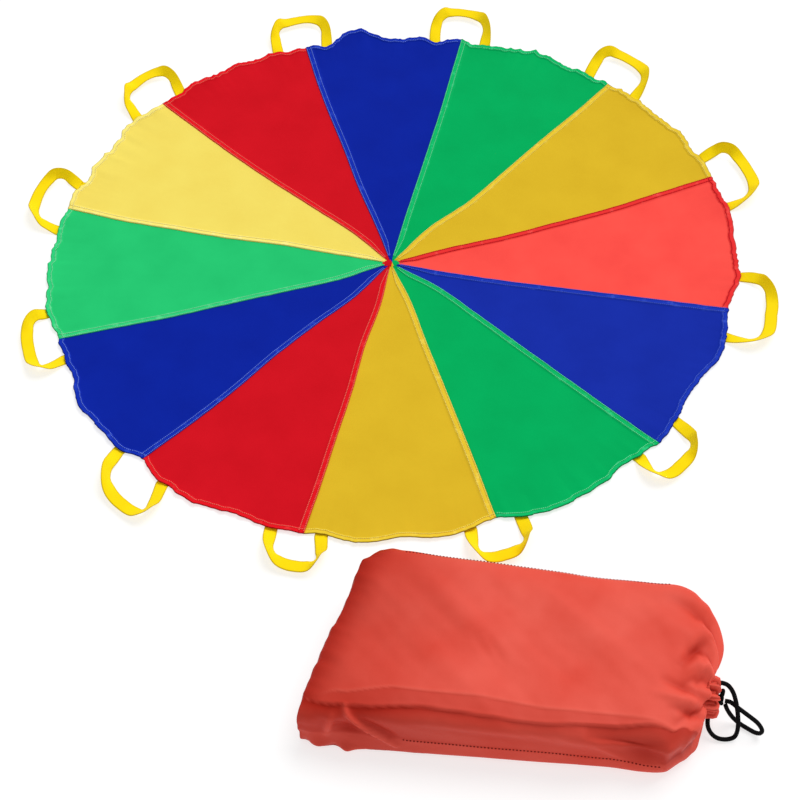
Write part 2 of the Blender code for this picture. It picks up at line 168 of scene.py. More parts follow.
def open_grid(across, along):
    """A flat grid whose vertices know their column and row."""
    shape = bmesh.new()
    bmesh.ops.create_grid(shape, x_segments=across, y_segments=along, size=1.0)
    column = shape.verts.layers.int.new("column")
    row = shape.verts.layers.int.new("row")
    for vert in shape.verts:
        vert[column] = round((vert.co.x + 1.0) / 2.0 * across)
        vert[row] = round((vert.co.y + 1.0) / 2.0 * along)
    return shape, column, row


def lay_uv(shape, name, place_of):
    """A UV map in metres; place_of gives the place of a vertex on the cloth."""
    layer = shape.loops.layers.uv.new(name)
    for face in shape.faces:
        for loop in face.loops:
            loop[layer].uv = place_of(loop.vert)


def piece_from_bmesh(name, shape, *materials):
    mesh = bpy.data.meshes.new(name)
    shape.to_mesh(mesh)
    shape.free()
    for material in materials:
        mesh.materials.append(material)
    mesh.shade_smooth()
    piece = bpy.data.objects.new(name, mesh)
    bpy.context.scene.collection.objects.link(piece)
    return piece


def give_thickness(piece, thickness, offset):
    solid = piece.modifiers.new("thickness", "SOLIDIFY")
    solid.thickness = thickness
    solid.offset = offset
    solid.use_even_offset = False
    return solid


def apply_modifiers(piece):
    """Turns a piece with modifiers into the plain mesh that they make."""
    graph = bpy.context.evaluated_depsgraph_get()
    mesh = bpy.data.meshes.new_from_object(piece.evaluated_get(graph))
    mesh.name = piece.name
    piece.modifiers.clear()
    piece.data = mesh


# %% [markdown]
# Finishes are node trees. They could be drawn in the shader editor, but a script has to name each socket
# anyway, so short helpers add a node, set its options and join or fill its sockets. Each finish below then
# reads as a list of what its material has: threads, crinkles, uneven dye.


# %% Helpers for finishes
def linear(red, green, blue):
    """A colour as an eye or a photograph has it, 0 to 255, in the linear values that shaders use."""
    found = []
    for value in (red, green, blue):
        share = value / 255.0
        found.append(share / 12.92 if share <= 0.04045 else ((share + 0.055) / 1.055) ** 2.4)
    return (*found, 1.0)


def new_material(name, roughness, specular):
    material = bpy.data.materials.new(name)
    material.use_nodes = True
    shader = material.node_tree.nodes["Principled BSDF"]
    shader.inputs["Roughness"].default_value = roughness
    shader.inputs["Specular IOR Level"].default_value = specular
    return material, shader


def add_node(material, kind, sockets=(), **options):
    """A new node with its options set and its sockets filled with values or joined to other sockets."""
    node = material.node_tree.nodes.new(kind)
    for option, value in options.items():
        setattr(node, option, value)
    for socket, value in dict(sockets).items():
        if isinstance(value, bpy.types.NodeSocket):
            material.node_tree.links.new(value, node.inputs[socket])
        else:
            node.inputs[socket].default_value = value
    return node


def join(material, output, entry):
    material.node_tree.links.new(output, entry)


def mix_colors(material, first, second, factor):
    node = add_node(material, "ShaderNodeMix", {0: factor}, data_type="RGBA")
    for entry, value in ((node.inputs[6], first), (node.inputs[7], second)):
        if isinstance(value, bpy.types.NodeSocket):
            join(material, value, entry)
        else:
            entry.default_value = value
    return node.outputs[2]


def thread_bands(material, source, pitch, axis):
    """Even threads side by side: bands with that pitch, in metres."""
    bands_per_unit = 20.0 / (2.0 * math.pi)
    sockets = {"Vector": source, "Scale": 1.0 / (pitch * bands_per_unit)}
    node = add_node(material, "ShaderNodeTexWave", sockets, wave_type="BANDS", bands_direction=axis,
                    wave_profile="SIN")
    return node.outputs["Fac"]


def noise_field(material, source, wavelength, detail=3.0):
    sockets = {"Vector": source, "Scale": 1.0 / wavelength, "Detail": detail}
    return add_node(material, "ShaderNodeTexNoise", sockets).outputs["Fac"]


def bump(material, height, distance, strength=1.0, below=None):
    sockets = {"Height": height, "Distance": distance, "Strength": strength}
    if below is not None:
        sockets["Normal"] = below
    return add_node(material, "ShaderNodeBump", sockets).outputs["Normal"]


def uv_places(material, name):
    """Places on the piece's own UV map, in metres."""
    return add_node(material, "ShaderNodeUVMap", uv_map=name).outputs[0]


def stored_value(material, name):
    """A value that the mesh stores at each of its vertices."""
    return add_node(material, "ShaderNodeAttribute", attribute_name=name).outputs["Fac"]


def spread(material, value, low, high, most=1.0):
    """A pattern's values between low and high, spread from 0 to the most."""
    return add_node(material, "ShaderNodeMapRange", {0: value, 1: low, 2: high, 3: 0.0, 4: most}).outputs[0]


def multiply(material, first, second):
    return add_node(material, "ShaderNodeMath", {0: first, 1: second}, operation="MULTIPLY").outputs[0]


def woven(material, source, across_pitch, along_pitch):
    """Threads both ways, with a hump wherever two of them cross."""
    across = thread_bands(material, source, across_pitch, "X")
    return multiply(material, across, thread_bands(material, source, along_pitch, "Y"))


# %% [markdown]
# Parachute nylon is a thin plain weave with a dull gloss. Its colour is strong and even, a little different
# where the cloth lies double in a fold. Painted shade darkens the rim where the hem rolls under and the dents
# where thread pulls the cloth in. Fine crinkles break up the light, and the folds carry painted highlights in
# patches, glints of light on the folded cloth. A pattern on the object's coordinates would cut through bent
# cloth like grain through wood. So the pattern follows a UV map in metres, and values stored on the mesh say
# where the cloth is folded and where shade is painted, in the thread's dents and at the rolled rim.

# %% Nylon finish
weave_pitch = 0.0012
weave_depth = 0.00010
weave_strength = 0.5
crinkle_size = 0.020
crinkle_depth = 0.0010
crinkle_strength = 0.5
crinkle_detail = 4.0
nylon_roughness = 0.62
nylon_specular = 0.02
dye_patch_size = 0.16
dye_patch_range = (0.35, 0.75)
dye_patch_share = 0.35
glint_patch_size = 0.022
glint_patch_range = (0.56, 0.70)
glint_share = 0.75
rim_shade_share = 0.60
eye_gamma = 2.2


def crinkled_weave(material, cloth, size, depth, strength):
    """A normal with the weave in it and crinkles of that size over it."""
    weave = bump(material, woven(material, cloth, weave_pitch, weave_pitch), weave_depth, weave_strength)
    return bump(material, noise_field(material, cloth, size, crinkle_detail), depth, strength, weave)


def make_nylon(name, color, fold_color, dye_and_dent_shade_color, glint_color):
    material, shader = new_material(f"{name}_cloth", nylon_roughness, nylon_specular)
    cloth = uv_places(material, "cloth")
    folds = stored_value(material, "folded")
    patches = noise_field(material, cloth, dye_patch_size)
    dye = spread(material, patches, *dye_patch_range, dye_patch_share)
    ground = mix_colors(material, color, dye_and_dent_shade_color, dye)
    folded = mix_colors(material, ground, fold_color, folds)
    # Painted shade in the dents where thread pulls the cloth in.
    sewn = mix_colors(material, folded, dye_and_dent_shade_color, stored_value(material, "dent_shade"))
    # Painted highlights: lighter patches on the folds that stand for glints of light.
    glint_patches = noise_field(material, cloth, glint_patch_size)
    glints = multiply(material, spread(material, glint_patches, *glint_patch_range, glint_share), folds)
    glinted = mix_colors(material, sewn, glint_color, glints)
    # Painted shade along the rim, where the hem rolls under.
    rim_shade_color = (*(rim_shade_share ** eye_gamma * value for value in color[:3]), 1.0)
    seen = mix_colors(material, glinted, rim_shade_color, stored_value(material, "rolled"))
    join(material, seen, shader.inputs["Base Color"])
    relief = crinkled_weave(material, cloth, crinkle_size, crinkle_depth, crinkle_strength)
    join(material, relief, shader.inputs["Normal"])
    return material


# Each nylon as its ground, its folds, its deepest tone, which also paints shade into the stitch dents, and
# its painted highlight on the folds, as an eye sees them.
nylon_colors = {
    "blue": ((10, 36, 158), (18, 46, 174), (6, 22, 128), (52, 82, 204)),
    "bright_blue": ((22, 46, 167), (28, 56, 182), (12, 30, 136), (60, 90, 208)),
    "green": ((0, 174, 92), (12, 186, 104), (0, 148, 74), (60, 212, 140)),
    "light_green": ((38, 199, 114), (48, 206, 124), (18, 168, 90), (104, 224, 154)),
    "ochre": ((220, 183, 40), (234, 200, 52), (200, 160, 26), (246, 220, 96)),
    "light_yellow": ((242, 221, 101), (249, 231, 120), (230, 198, 74), (253, 242, 160)),
    "coral": ((254, 84, 75), (236, 52, 52), (226, 46, 48), (250, 92, 84)),
    "red": ((209, 18, 32), (228, 22, 34), (180, 6, 18), (238, 54, 58))}
nylon = {}
for name, colors in nylon_colors.items():
    nylon[name] = make_nylon(name, *(linear(*color) for color in colors))
gore_colors = ("blue", "green", "ochre", "coral", "bright_blue", "green", "ochre", "red",
               "blue", "light_green", "light_yellow", "red")
print("nylon finishes:", sorted(nylon))

# %% [markdown]
# The canopy as it lies isn't a perfect circle: each seam is pushed a little round the rim and reaches a
# little more or less far, and between the seams the hem wanders in and out. These shares of the driving
# radius are the ones that the CAD model was built from. A seam isn't quite straight either: slack cloth
# lets it bow by a centimetre or two. Random wobbles would be shorter to write, but the way this canopy lies
# is known, so each seam and each stretch of rim has its own values.

# %% Canopy layout
canopy_radius = 0.900
gore_count = 12
first_seam_deg = 104.4
gore_deg = 360.0 / gore_count
seam_push_shares = (-0.04, 0.03, 0.03, 0.05, 0.045, -0.005, 0.0, 0.005, -0.005, -0.035, -0.035, -0.04)
seam_reach_shares = (1.006, 1.014, 1.025, 1.030, 0.995, 1.005, 0.970, 0.994, 0.978, 0.994, 1.013, 1.017)
# How far each seam strays anticlockwise from its straight line, in metres, at each sixth of the way out.
seam_bow_lengths = (
    (0.005, 0.012, 0.013, 0.017, 0.017, 0.012), (-0.001, -0.004, -0.007, -0.010, -0.009, -0.009),
    (0.008, -0.008, -0.006, -0.003, -0.004, 0.000), (-0.002, -0.013, -0.014, -0.014, -0.003, 0.005),
    (-0.008, -0.012, -0.010, -0.009, -0.006, -0.004), (0.020, 0.016, 0.011, 0.006, 0.003, 0.000),
    (0.010, 0.007, 0.007, 0.006, 0.005, 0.002), (0.009, 0.003, 0.007, 0.005, 0.004, 0.000),
    (0.015, 0.008, 0.006, 0.012, 0.008, 0.000), (0.020, 0.019, 0.018, 0.018, 0.012, 0.005),
    (0.005, 0.005, 0.011, 0.012, 0.012, 0.000), (-0.006, 0.000, 0.008, 0.011, 0.008, 0.005))
rim_shape_shares = (
    (-0.018, 0.032, 0.040, -0.011, -0.018, -0.004, -0.024),
    (-0.019, -0.017, -0.004, 0.012, -0.003, -0.006, -0.007),
    (0.008, 0.003, -0.003, 0.001, 0.010, -0.001, 0.003),
    (-0.003, 0.007, 0.005, 0.002, 0.006, 0.016, 0.010),
    (0.002, 0.009, 0.005, -0.013, -0.020, -0.013, -0.002),
    (-0.002, -0.005, 0.012, 0.018, 0.025, 0.025, 0.017),
    (0.013, 0.023, 0.017, 0.005, 0.015, 0.017, 0.003),
    (0.007, 0.012, 0.004, 0.019, 0.028, 0.024, 0.024),
    (0.028, 0.020, 0.024, 0.028, 0.012, 0.001, 0.000),
    (0.009, 0.016, 0.011, 0.011, 0.012, 0.005, 0.006),
    (0.007, -0.002, 0.006, -0.001, 0.008, 0.021, 0.009),
    (0.000, 0.014, 0.002, 0.010, 0.006, 0.008, 0.000))
webbing_thickness = 0.0015
sewn_end_length = 0.026
sewn_end_gap = 0.0004
hem_flat_margin = 0.006
hem_lift = webbing_thickness + sewn_end_gap
hem_flat_length = sewn_end_length + hem_flat_margin
hem_rise_length = 0.060
bow_inner_radius = 0.02


def seam_deg(seam):
    seam = seam % gore_count
    return first_seam_deg - gore_deg * (seam - seam_push_shares[seam])


def seam_reach(seam):
    return canopy_radius * seam_reach_shares[seam % gore_count]


def gore_span_deg(gore):
    return (seam_deg(gore) - seam_deg(gore + 1)) % 360.0


def seam_line_deg(seam, radius):
    """The direction of a seam at a distance from the crown, with its bow."""
    seam = seam % gore_count
    bows = [(0.0,)] + [(length,) for length in seam_bow_lengths[seam]]
    bow = through_points(bows, min(radius / seam_reach(seam), 1.0))[0]
    return seam_deg(seam) + math.degrees(bow / max(radius, bow_inner_radius))


def gore_span(gore, radius):
    """The angle between a gore's two seams at a distance from the crown, in degrees."""
    return (seam_line_deg(gore, radius) - seam_line_deg(gore + 1, radius)) % 360.0


reaches = [seam_reach(seam) for seam in range(gore_count)]
print("the seams reach from", round(min(reaches), 3), "to", round(max(reaches), 3), "m")

# %% [markdown]
# Sewn nylon puckers. Thread pulled tight along the hem gathers the cloth into sharp little kinks that die
# away over a few centimetres, the seams ripple it, and the open field lies in long shallow waves. A cloth
# simulation could drop the canopy on the floor, but it is slow, and its folds would fall where they like.
# So all of it is one height over the floor, worked out from where a point lies, and neighbouring gores meet
# exactly.

# %% Heights of the cloth
kink_pitch = 0.050
kink_seed = 7.0
kink_depth = 0.0060
fine_kink_pitch = 0.020
fine_kink_seed = 3.0
fine_kink_depth = 0.0030
kink_sharpness = 2.4
mean_kink = 0.6
hem_pucker_height = 0.0040
hem_pucker_fade = 0.045
pucker_base_share = 0.35
fine_pucker_share = 0.5
seam_calm_width = 0.030
seam_pucker_pitch = 0.034
seam_pucker_seed = 5.0
seam_pucker_height = 0.0013
seam_pucker_fade = 0.022
seam_pucker_start = 0.12
field_wave_length = 0.24
field_wave_seed = 11.0
field_wave_height = 0.0055
field_wave_start = 0.20
crown_half_length = 0.022
crown_half_width = 0.011


def kinks_at(degrees):
    """Coarse and fine kinks round the rim, each from 0 to about 1 with a sharp peak."""
    spot = direction(degrees) * canopy_radius
    found = []
    for pitch, seed in ((kink_pitch, kink_seed), (fine_kink_pitch, fine_kink_seed)):
        found.append(max(1.0 - kink_sharpness * abs(soft_wave(spot.x, spot.y, pitch, seed)), 0.0))
    return found


def rim_at(degrees):
    """How far the rim reaches in a direction."""
    turned = math.floor((first_seam_deg - degrees) / gore_deg)
    for gore in (turned, turned - 1, turned + 1):
        share = ((seam_deg(gore) - degrees + 180.0) % 360.0 - 180.0) / gore_span_deg(gore)
        if -tiny <= share <= 1.0 + tiny:
            break
    line = blend(seam_reach(gore), seam_reach(gore + 1), share)
    shares = [(0.0,)] + [(step,) for step in rim_shape_shares[gore % gore_count]] + [(0.0,)]
    rim = line + canopy_radius * through_points(shares, min(max(share, 0.0), 1.0))[0]
    coarse, fine = kinks_at(degrees)
    return rim + kink_depth * (coarse - mean_kink) + fine_kink_depth * (fine - mean_kink)


def crown_radius_at(degrees):
    """The crown's outline, an ellipse that is longer from left to right."""
    angle = math.radians(degrees)
    across = crown_half_width * math.cos(angle)
    along = crown_half_length * math.sin(angle)
    return crown_half_length * crown_half_width / math.hypot(across, along)


def cloth_height(gore, share, radius, rim):
    """How high the underside of the cloth lies over the floor."""
    span = gore_span(gore, radius)
    degrees = seam_line_deg(gore, radius) - share * span
    spot = direction(degrees) * radius
    inward = rim - radius
    lifted = 1.0 - smooth_step((inward - hem_flat_length) / hem_rise_length)
    from_seam = radius * math.radians(span) * min(share, 1.0 - share)
    coarse, fine = kinks_at(degrees)
    pucker = hem_pucker_height * (pucker_base_share + coarse + fine_pucker_share * fine)
    pucker *= math.exp(-max(inward, 0.0) / hem_pucker_fade) * ramp(from_seam, 0.0, seam_calm_width)
    nearest = seam_deg(gore) if share < 0.5 else seam_deg(gore + 1)
    ripple = seam_pucker_height * (1.0 + soft_wave(radius, nearest, seam_pucker_pitch, seam_pucker_seed))
    ripple *= math.exp(-from_seam / seam_pucker_fade) * ramp(radius, 0.0, seam_pucker_start)
    wave = field_wave_height * (0.5 + 0.5 * soft_wave(spot.x, spot.y, field_wave_length, field_wave_seed))
    wave *= ramp(radius, 0.0, field_wave_start) * (1.0 - lifted)
    return lifted * hem_lift + pucker + ripple + wave


print("the rim reaches up to", round(max(rim_at(degrees) for degrees in range(360)), 3), "m")

# %% [markdown]
# Where cloth is turned under it lies two or three layers thick. The hem is such a fold all round the rim,
# and each gore carries a felled seam along its first side, a flat strip sewn down with two lines of thread.
# Real layers, one on the other, would triple the faces and hide most of them. So one sheet grows thicker
# there, with a profile that serves both folds: round at the fold's edge, flat across, and stepped down at
# its sewn side.

# %% Thickness of folds
cloth_thickness = 0.0007
fold_thickness = 0.0022
fold_round = 0.0016
fold_edge_share = 0.25
fold_step = 0.0012
fold_crossing_share = 0.25
hem_width = 0.015
hem_stitch_lines = (0.0122,)
seam_strip_width = 0.016
seam_stitch_lines = (0.0022, 0.0138)
stitch_dent_width = 0.0014
stitch_dent_share = 0.35
rim_shade_width = 0.0030
strip_limit_share = 0.4


def fold_share(distance, width):
    """How much of the fold's thickness there is at a distance from its edge."""
    rise = smooth_step(distance / fold_round + fold_edge_share)
    return rise * (1.0 - smooth_step((distance - width) / fold_step))


def stitch_dent(distance, lines, scale=1.0):
    """How deep the thread pulls the cloth in, most on its own line."""
    return max(ridge(distance - line * scale, stitch_dent_width) for line in lines)


def strip_width_at(arc):
    """The felled strip is narrower where the gore itself is."""
    return min(seam_strip_width, strip_limit_share * arc)


def folds_at(inward, from_first_seam, strip_width):
    """How thick the cloth lies, how much of that is a fold, and how far the thread dents it."""
    hem = fold_share(inward, hem_width)
    strip = fold_share(from_first_seam, strip_width)
    folded = max(hem, strip)
    dent = max(stitch_dent(inward, hem_stitch_lines) * hem,
               stitch_dent(from_first_seam, seam_stitch_lines, strip_width / seam_strip_width) * strip)
    thickness = folded * (1.0 - stitch_dent_share * dent) + fold_crossing_share * hem * strip
    return thickness, folded, dent


print("folds are", 1000.0 * fold_thickness, "mm thick and the open cloth", 1000.0 * cloth_thickness, "mm")

# %% [markdown]
# A gore is a wedge-shaped grid. Even columns and rows would need thousands more faces to show the folds, so
# its columns crowd together over the felled strip and its rows over the hem. Solidify then gives the sheet
# its thickness, which a vertex group varies.

# %% Gore grid
field_columns = 64
strip_columns = (
    0.0, 0.0006, 0.0012, 0.0022, 0.0038, 0.0070, 0.0104, 0.0126, 0.0138, 0.0150, 0.0160, 0.0168)
hem_rows = (
    0.0, 0.0006, 0.0014, 0.0030, 0.0050, 0.0076, 0.0104, 0.0122, 0.0138, 0.0150, 0.0156, 0.0164, 0.0200)
field_rows = 92
tucked_under = 0.0020
tip_under_crown = 0.0030
strip_lift_share = 1.4
rim_search_rounds = 4


def column_places(arc):
    """Distances along a row from the first seam, over the strip and then the field, ending under the next."""
    strip = strip_width_at(arc)
    scale = strip / seam_strip_width
    places = [place * scale for place in strip_columns]
    start, end = places[-1], arc + tucked_under * scale
    places += [blend(start, end, (step + 1) / field_columns) for step in range(field_columns)]
    return places, strip


def fold_lift(from_first_seam, strip):
    """The felled strip lies on top of the next gore's edge."""
    return cloth_thickness * strip_lift_share * (1.0 - smooth_step(from_first_seam / max(strip, tiny)))


def gore_spot(gore, row, column):
    """A point of the gore's underside with its fold values. The rim is found in a few rounds."""
    share = column / (len(strip_columns) + field_columns)
    radius = canopy_radius
    for _ in range(rim_search_rounds):
        degrees = seam_line_deg(gore, radius) - share * gore_span(gore, radius)
        rim = rim_at(degrees)
        if row < len(hem_rows):
            radius = rim - hem_rows[row]
        else:
            step = (row - len(hem_rows) + 1) / field_rows
            radius = blend(rim - hem_rows[-1], crown_radius_at(degrees) - tip_under_crown, step)
        span = gore_span(gore, radius)
        arc = radius * math.radians(span)
        places, strip = column_places(arc)
        share = places[column] / arc
    thickness, folded, dent = folds_at(rim - radius, places[column], strip)
    point = direction(seam_line_deg(gore, radius) - share * span) * radius
    point.z = cloth_height(gore, share, radius, rim) + fold_lift(places[column], strip)
    # Painted shade at the rim where the hem rolls under, strongest at the edge and fading inwards.
    rolled = 1.0 - smooth_step((rim - radius) / rim_shade_width)
    return point, thickness, folded, dent, rolled


def make_gore(gore):
    columns = len(strip_columns) + field_columns - 1
    rows = len(hem_rows) + field_rows - 1
    shape, column, row = open_grid(columns, rows)
    weights = shape.verts.layers.deform.verify()
    folded, dent_shade, rolled = (shape.verts.layers.float.new(name) for name in ("folded", "dent_shade", "rolled"))
    for vert in shape.verts:
        point, thickness, fold, dent, roll = gore_spot(gore, rows - vert[row], columns - vert[column])
        vert.co = point
        vert[weights][0] = min(thickness, 1.0)
        vert[folded] = fold
        # The stored dent and rim values are painted shade: darker in the thread's dents and at the rolled
        # rim.
        vert[dent_shade] = dent * fold
        vert[rolled] = roll
    outward = direction(seam_deg(gore) - 0.5 * gore_span_deg(gore))
    sideways = up.cross(outward)
    lay_uv(shape, "cloth", lambda vert: (vert.co.dot(sideways), vert.co.dot(outward)))
    bmesh.ops.recalc_face_normals(shape, faces=shape.faces)
    if sum(face.normal.z for face in shape.faces) < 0.0:
        bmesh.ops.reverse_faces(shape, faces=shape.faces)
    piece = piece_from_bmesh(f"gore_{gore + 1:02d}_cloth", shape, nylon[gore_colors[gore]])
    group = piece.vertex_groups.new(name="thick")
    solid = give_thickness(piece, fold_thickness, 1.0)
    solid.vertex_group = group.name
    solid.thickness_vertex_group = cloth_thickness / fold_thickness
    apply_modifiers(piece)
    return piece


gores = [make_gore(gore) for gore in range(gore_count)]
print("gores:", sum(len(piece.data.polygons) for piece in gores), "faces")

# %% [markdown]
# The seams are sewn with stout thread in a lighter or a darker shade of the cloth, two lines along each
# felled seam and one along the hem. The light threads are brightened further as a painted highlight, the
# glint along the seam's folded edge. Thread could be drawn in the finish, but it would lie flat in the cloth.
# So each stitch is a small bead of its own, half sunk in the fold, and a row of them catches the light as
# thread does. A bead has only twenty faces, since there are thousands of them.

# %% Stitches
stitch_pitch = 0.0050
stitch_length = 0.0048
thread_width = 0.0029
thread_sink = 0.0007
seam_stitches_start = 0.004
stitches_end_gap = 0.002
thread_roughness = 0.70
thread_specular = 0.06
fibre_size = 0.0008
fibre_depth = 0.0001
fibre_shade_share = 0.85
bead_faces = 20


def make_thread(name, color):
    material, shader = new_material(name, thread_roughness, thread_specular)
    place = add_node(material, "ShaderNodeTexCoord").outputs["Object"]
    fibres = noise_field(material, place, fibre_size, 1.0)
    dim = (*(fibre_shade_share * value for value in color[:3]), 1.0)
    join(material, mix_colors(material, dim, color, fibres), shader.inputs["Base Color"])
    join(material, bump(material, fibres, fibre_depth), shader.inputs["Normal"])
    return material


# Thread colours. The light ones are the thread's own shade and a painted highlight of the folded edge.
thread_and_glint_colors = {
    "blue": (104, 134, 240), "bright_blue": (76, 104, 220), "green": (110, 238, 172),
    "light_green": (140, 240, 182), "ochre": (255, 236, 116), "light_yellow": (255, 248, 170),
    "coral": (206, 30, 40), "red": (255, 116, 104)}
thread = {name: make_thread(f"{name}_thread", linear(*color)) for name, color in thread_and_glint_colors.items()}


def top_of_cloth(gore, share, radius):
    """The point on top of the cloth, where a stitch lies."""
    span = gore_span(gore, radius)
    degrees = seam_line_deg(gore, radius) - share * span
    rim = rim_at(degrees)
    arc = radius * math.radians(span)
    strip = strip_width_at(arc)
    thickness = folds_at(rim - radius, share * arc, strip)[0]
    point = direction(degrees) * radius
    point.z = cloth_height(gore, share, radius, rim) + fold_lift(share * arc, strip)
    point.z += blend(cloth_thickness, fold_thickness, min(thickness, 1.0))
    return point


def on_strip(gore, line, radius):
    """A point on a gore's felled strip, on one of its lines of thread."""
    arc = radius * math.radians(gore_span(gore, radius))
    return top_of_cloth(gore, line * strip_width_at(arc) / seam_strip_width / arc, radius)


def on_hem(gore, line, share):
    """A point on a gore's hem, a share of the way from its first seam to its second."""
    reach = blend(seam_reach(gore), seam_reach(gore + 1), share)
    degrees = seam_line_deg(gore, reach) - share * gore_span(gore, reach)
    return top_of_cloth(gore, share, rim_at(degrees) - line)


def add_bead(shape, before, after, length, width, rise=0.0):
    """One stitch on the line between two points: a ball stretched to a bead of thread."""
    along = (after - before).normalized()
    side = up.cross(along).normalized()
    turn = Matrix((along, side, along.cross(side))).transposed().to_4x4()
    size = Matrix.Diagonal((0.5 * length, 0.5 * width, 0.5 * width, 1.0))
    middle = Matrix.Translation(0.5 * (before + after) + up * rise)
    bmesh.ops.create_icosphere(shape, subdivisions=1, radius=1.0, matrix=middle @ turn @ size)


def sew_line(shape, place, length):
    """Stitches along a line on the cloth; place gives the point at a distance along it."""
    rise = 0.5 * thread_width - thread_sink
    for number in range(int(length / stitch_pitch)):
        start = number * stitch_pitch
        add_bead(shape, place(start), place(start + stitch_pitch), stitch_length, thread_width, rise)


def sew_gore(gore):
    shape = bmesh.new()
    inner = crown_half_length + seam_stitches_start
    outer = rim_at(seam_line_deg(gore, seam_reach(gore))) - stitches_end_gap
    for line in seam_stitch_lines:
        sew_line(shape, lambda distance: on_strip(gore, line, inner + distance), outer - inner)
    arc = seam_reach(gore) * math.radians(gore_span(gore, seam_reach(gore)))
    for line in hem_stitch_lines:
        sew_line(shape, lambda distance: on_hem(gore, line, distance / arc), arc - stitches_end_gap)
    return piece_from_bmesh(f"gore_{gore + 1:02d}_stitches", shape, thread[gore_colors[gore]])


stitches = [sew_gore(gore) for gore in range(gore_count)]
print("stitches:", sum(len(piece.data.polygons) for piece in stitches) // bead_faces)

# %% [markdown]
# The crown can be lifted: the rim stays on the floor while the twelve gores rise into a dome. Here the gores
# and their stitches keep the shape they are built in and don't follow the crown, and the CAD model's gores
# are hidden.

for gore in range(gore_count):
    for piece in (gores[gore], stitches[gore]):
        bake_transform(piece)
    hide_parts(f"gore_{gore + 1:02d}")

# %% [markdown]
# The crown is the bundle where twelve tips are sewn together. On the real one two red tips run into each
# other on the left and two green ones on the right, with the tips of a blue and a yellow gore between them.
# Twelve tips folded over each other would be too small to see. So it is a low cushion of cloth, cut with
# planes along the lines where those four colours meet.

# %% Crown
crown_low = 0.0010
crown_high = 0.0038
crown_overlap = 0.0012
crown_around = 48
crown_rings = 8
crown_gathers = 6.0
crown_gather_share = 0.10
crown_meeting = 0.14
blue_tip_slopes = (-0.19, 0.10)
yellow_tip_slopes = (-0.12, 0.17)
crown_cloths = ("red", "green", "blue", "ochre")

crown_shape = bmesh.new()
bmesh.ops.create_uvsphere(crown_shape, u_segments=crown_around, v_segments=2 * crown_rings, radius=1.0)
for slope in (*blue_tip_slopes, *(-slope for slope in yellow_tip_slopes), 0.0):
    whole = crown_shape.verts[:] + crown_shape.edges[:] + crown_shape.faces[:]
    bmesh.ops.bisect_plane(crown_shape, geom=whole, plane_co=(crown_meeting, 0.0, 0.0),
                           plane_no=(1.0, -slope, 0.0))
for face in crown_shape.faces:
    middle = face.calc_center_median()
    aside, reach = middle.x - crown_meeting, abs(middle.y)
    first, second = blue_tip_slopes if middle.y > 0.0 else yellow_tip_slopes
    if first * reach < aside < second * reach:
        color = "blue" if middle.y > 0.0 else "ochre"
    else:
        color = "red" if aside < 0.0 else "green"
    face.material_index = crown_cloths.index(color)
lay_uv(crown_shape, "cloth", lambda vert: (vert.co.x * crown_half_length, vert.co.y * crown_half_width))
for vert in crown_shape.verts:
    wave = math.sin(crown_gathers * math.atan2(vert.co.y, vert.co.x)) * math.hypot(vert.co.x, vert.co.y)
    vert.co.x *= crown_half_length + crown_overlap
    vert.co.y *= crown_half_width + crown_overlap
    height = blend(crown_low, crown_high, vert.co.z * (1.0 + crown_gather_share * wave))
    vert.co.z = max(height, crown_low)
crown = piece_from_bmesh("crown_cloth", crown_shape, *(nylon[color] for color in crown_cloths))
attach(crown, "crown")
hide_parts("crown_bundle")
print("crown:", len(crown.data.polygons), "faces")

# %% [markdown]
# Handles are flat webbing, a stiff tape woven with ribs across and a firm darker selvedge along both sides.
# The ribs could be modelled, but at two millimetres each they are only seen as a sheen, so they are bump in
# the finish, which follows the strap's own UV map.

# %% Webbing finish
rib_pitch = 0.0022
yarn_pitch = 0.0016
rib_depth = 0.00030
rib_strength = 0.5
webbing_roughness = 0.80
webbing_specular = 0.05
webbing_sheen = 0.03
webbing_dye_size = 0.030
webbing_yellow = linear(255, 226, 14)
webbing_deep_yellow = linear(252, 216, 6)
selvedge_yellow = linear(216, 184, 8)


def make_webbing():
    material, shader = new_material("webbing_yellow", webbing_roughness, webbing_specular)
    shader.inputs["Sheen Weight"].default_value = webbing_sheen
    strap = uv_places(material, "strap")
    dye = noise_field(material, strap, webbing_dye_size)
    ground = mix_colors(material, webbing_yellow, webbing_deep_yellow, dye)
    shaded = mix_colors(material, ground, selvedge_yellow, stored_value(material, "selvedge"))
    join(material, shaded, shader.inputs["Base Color"])
    weave = woven(material, strap, yarn_pitch, rib_pitch)
    join(material, bump(material, weave, rib_depth, rib_strength), shader.inputs["Normal"])
    return material


webbing = make_webbing()
print("webbing finish:", webbing.name)

# %% [markdown]
# Each handle is one length of webbing: sewn under the hem, out, round in a D and back under the hem. The
# ribbon twists on edge at its two corners, which is why it looks narrow there. Twelve paths could be drawn
# one by one, but the handles are alike. So the path is given once, as shares of its reach and its foot
# spacing, and every handle varies it: its feet stand nearer or farther apart, its loop leans to one side and
# lies more or less far out. Each corner then has its own shape: how far out it lies, how much it is rounded
# off and how much the ribbon rolls there.

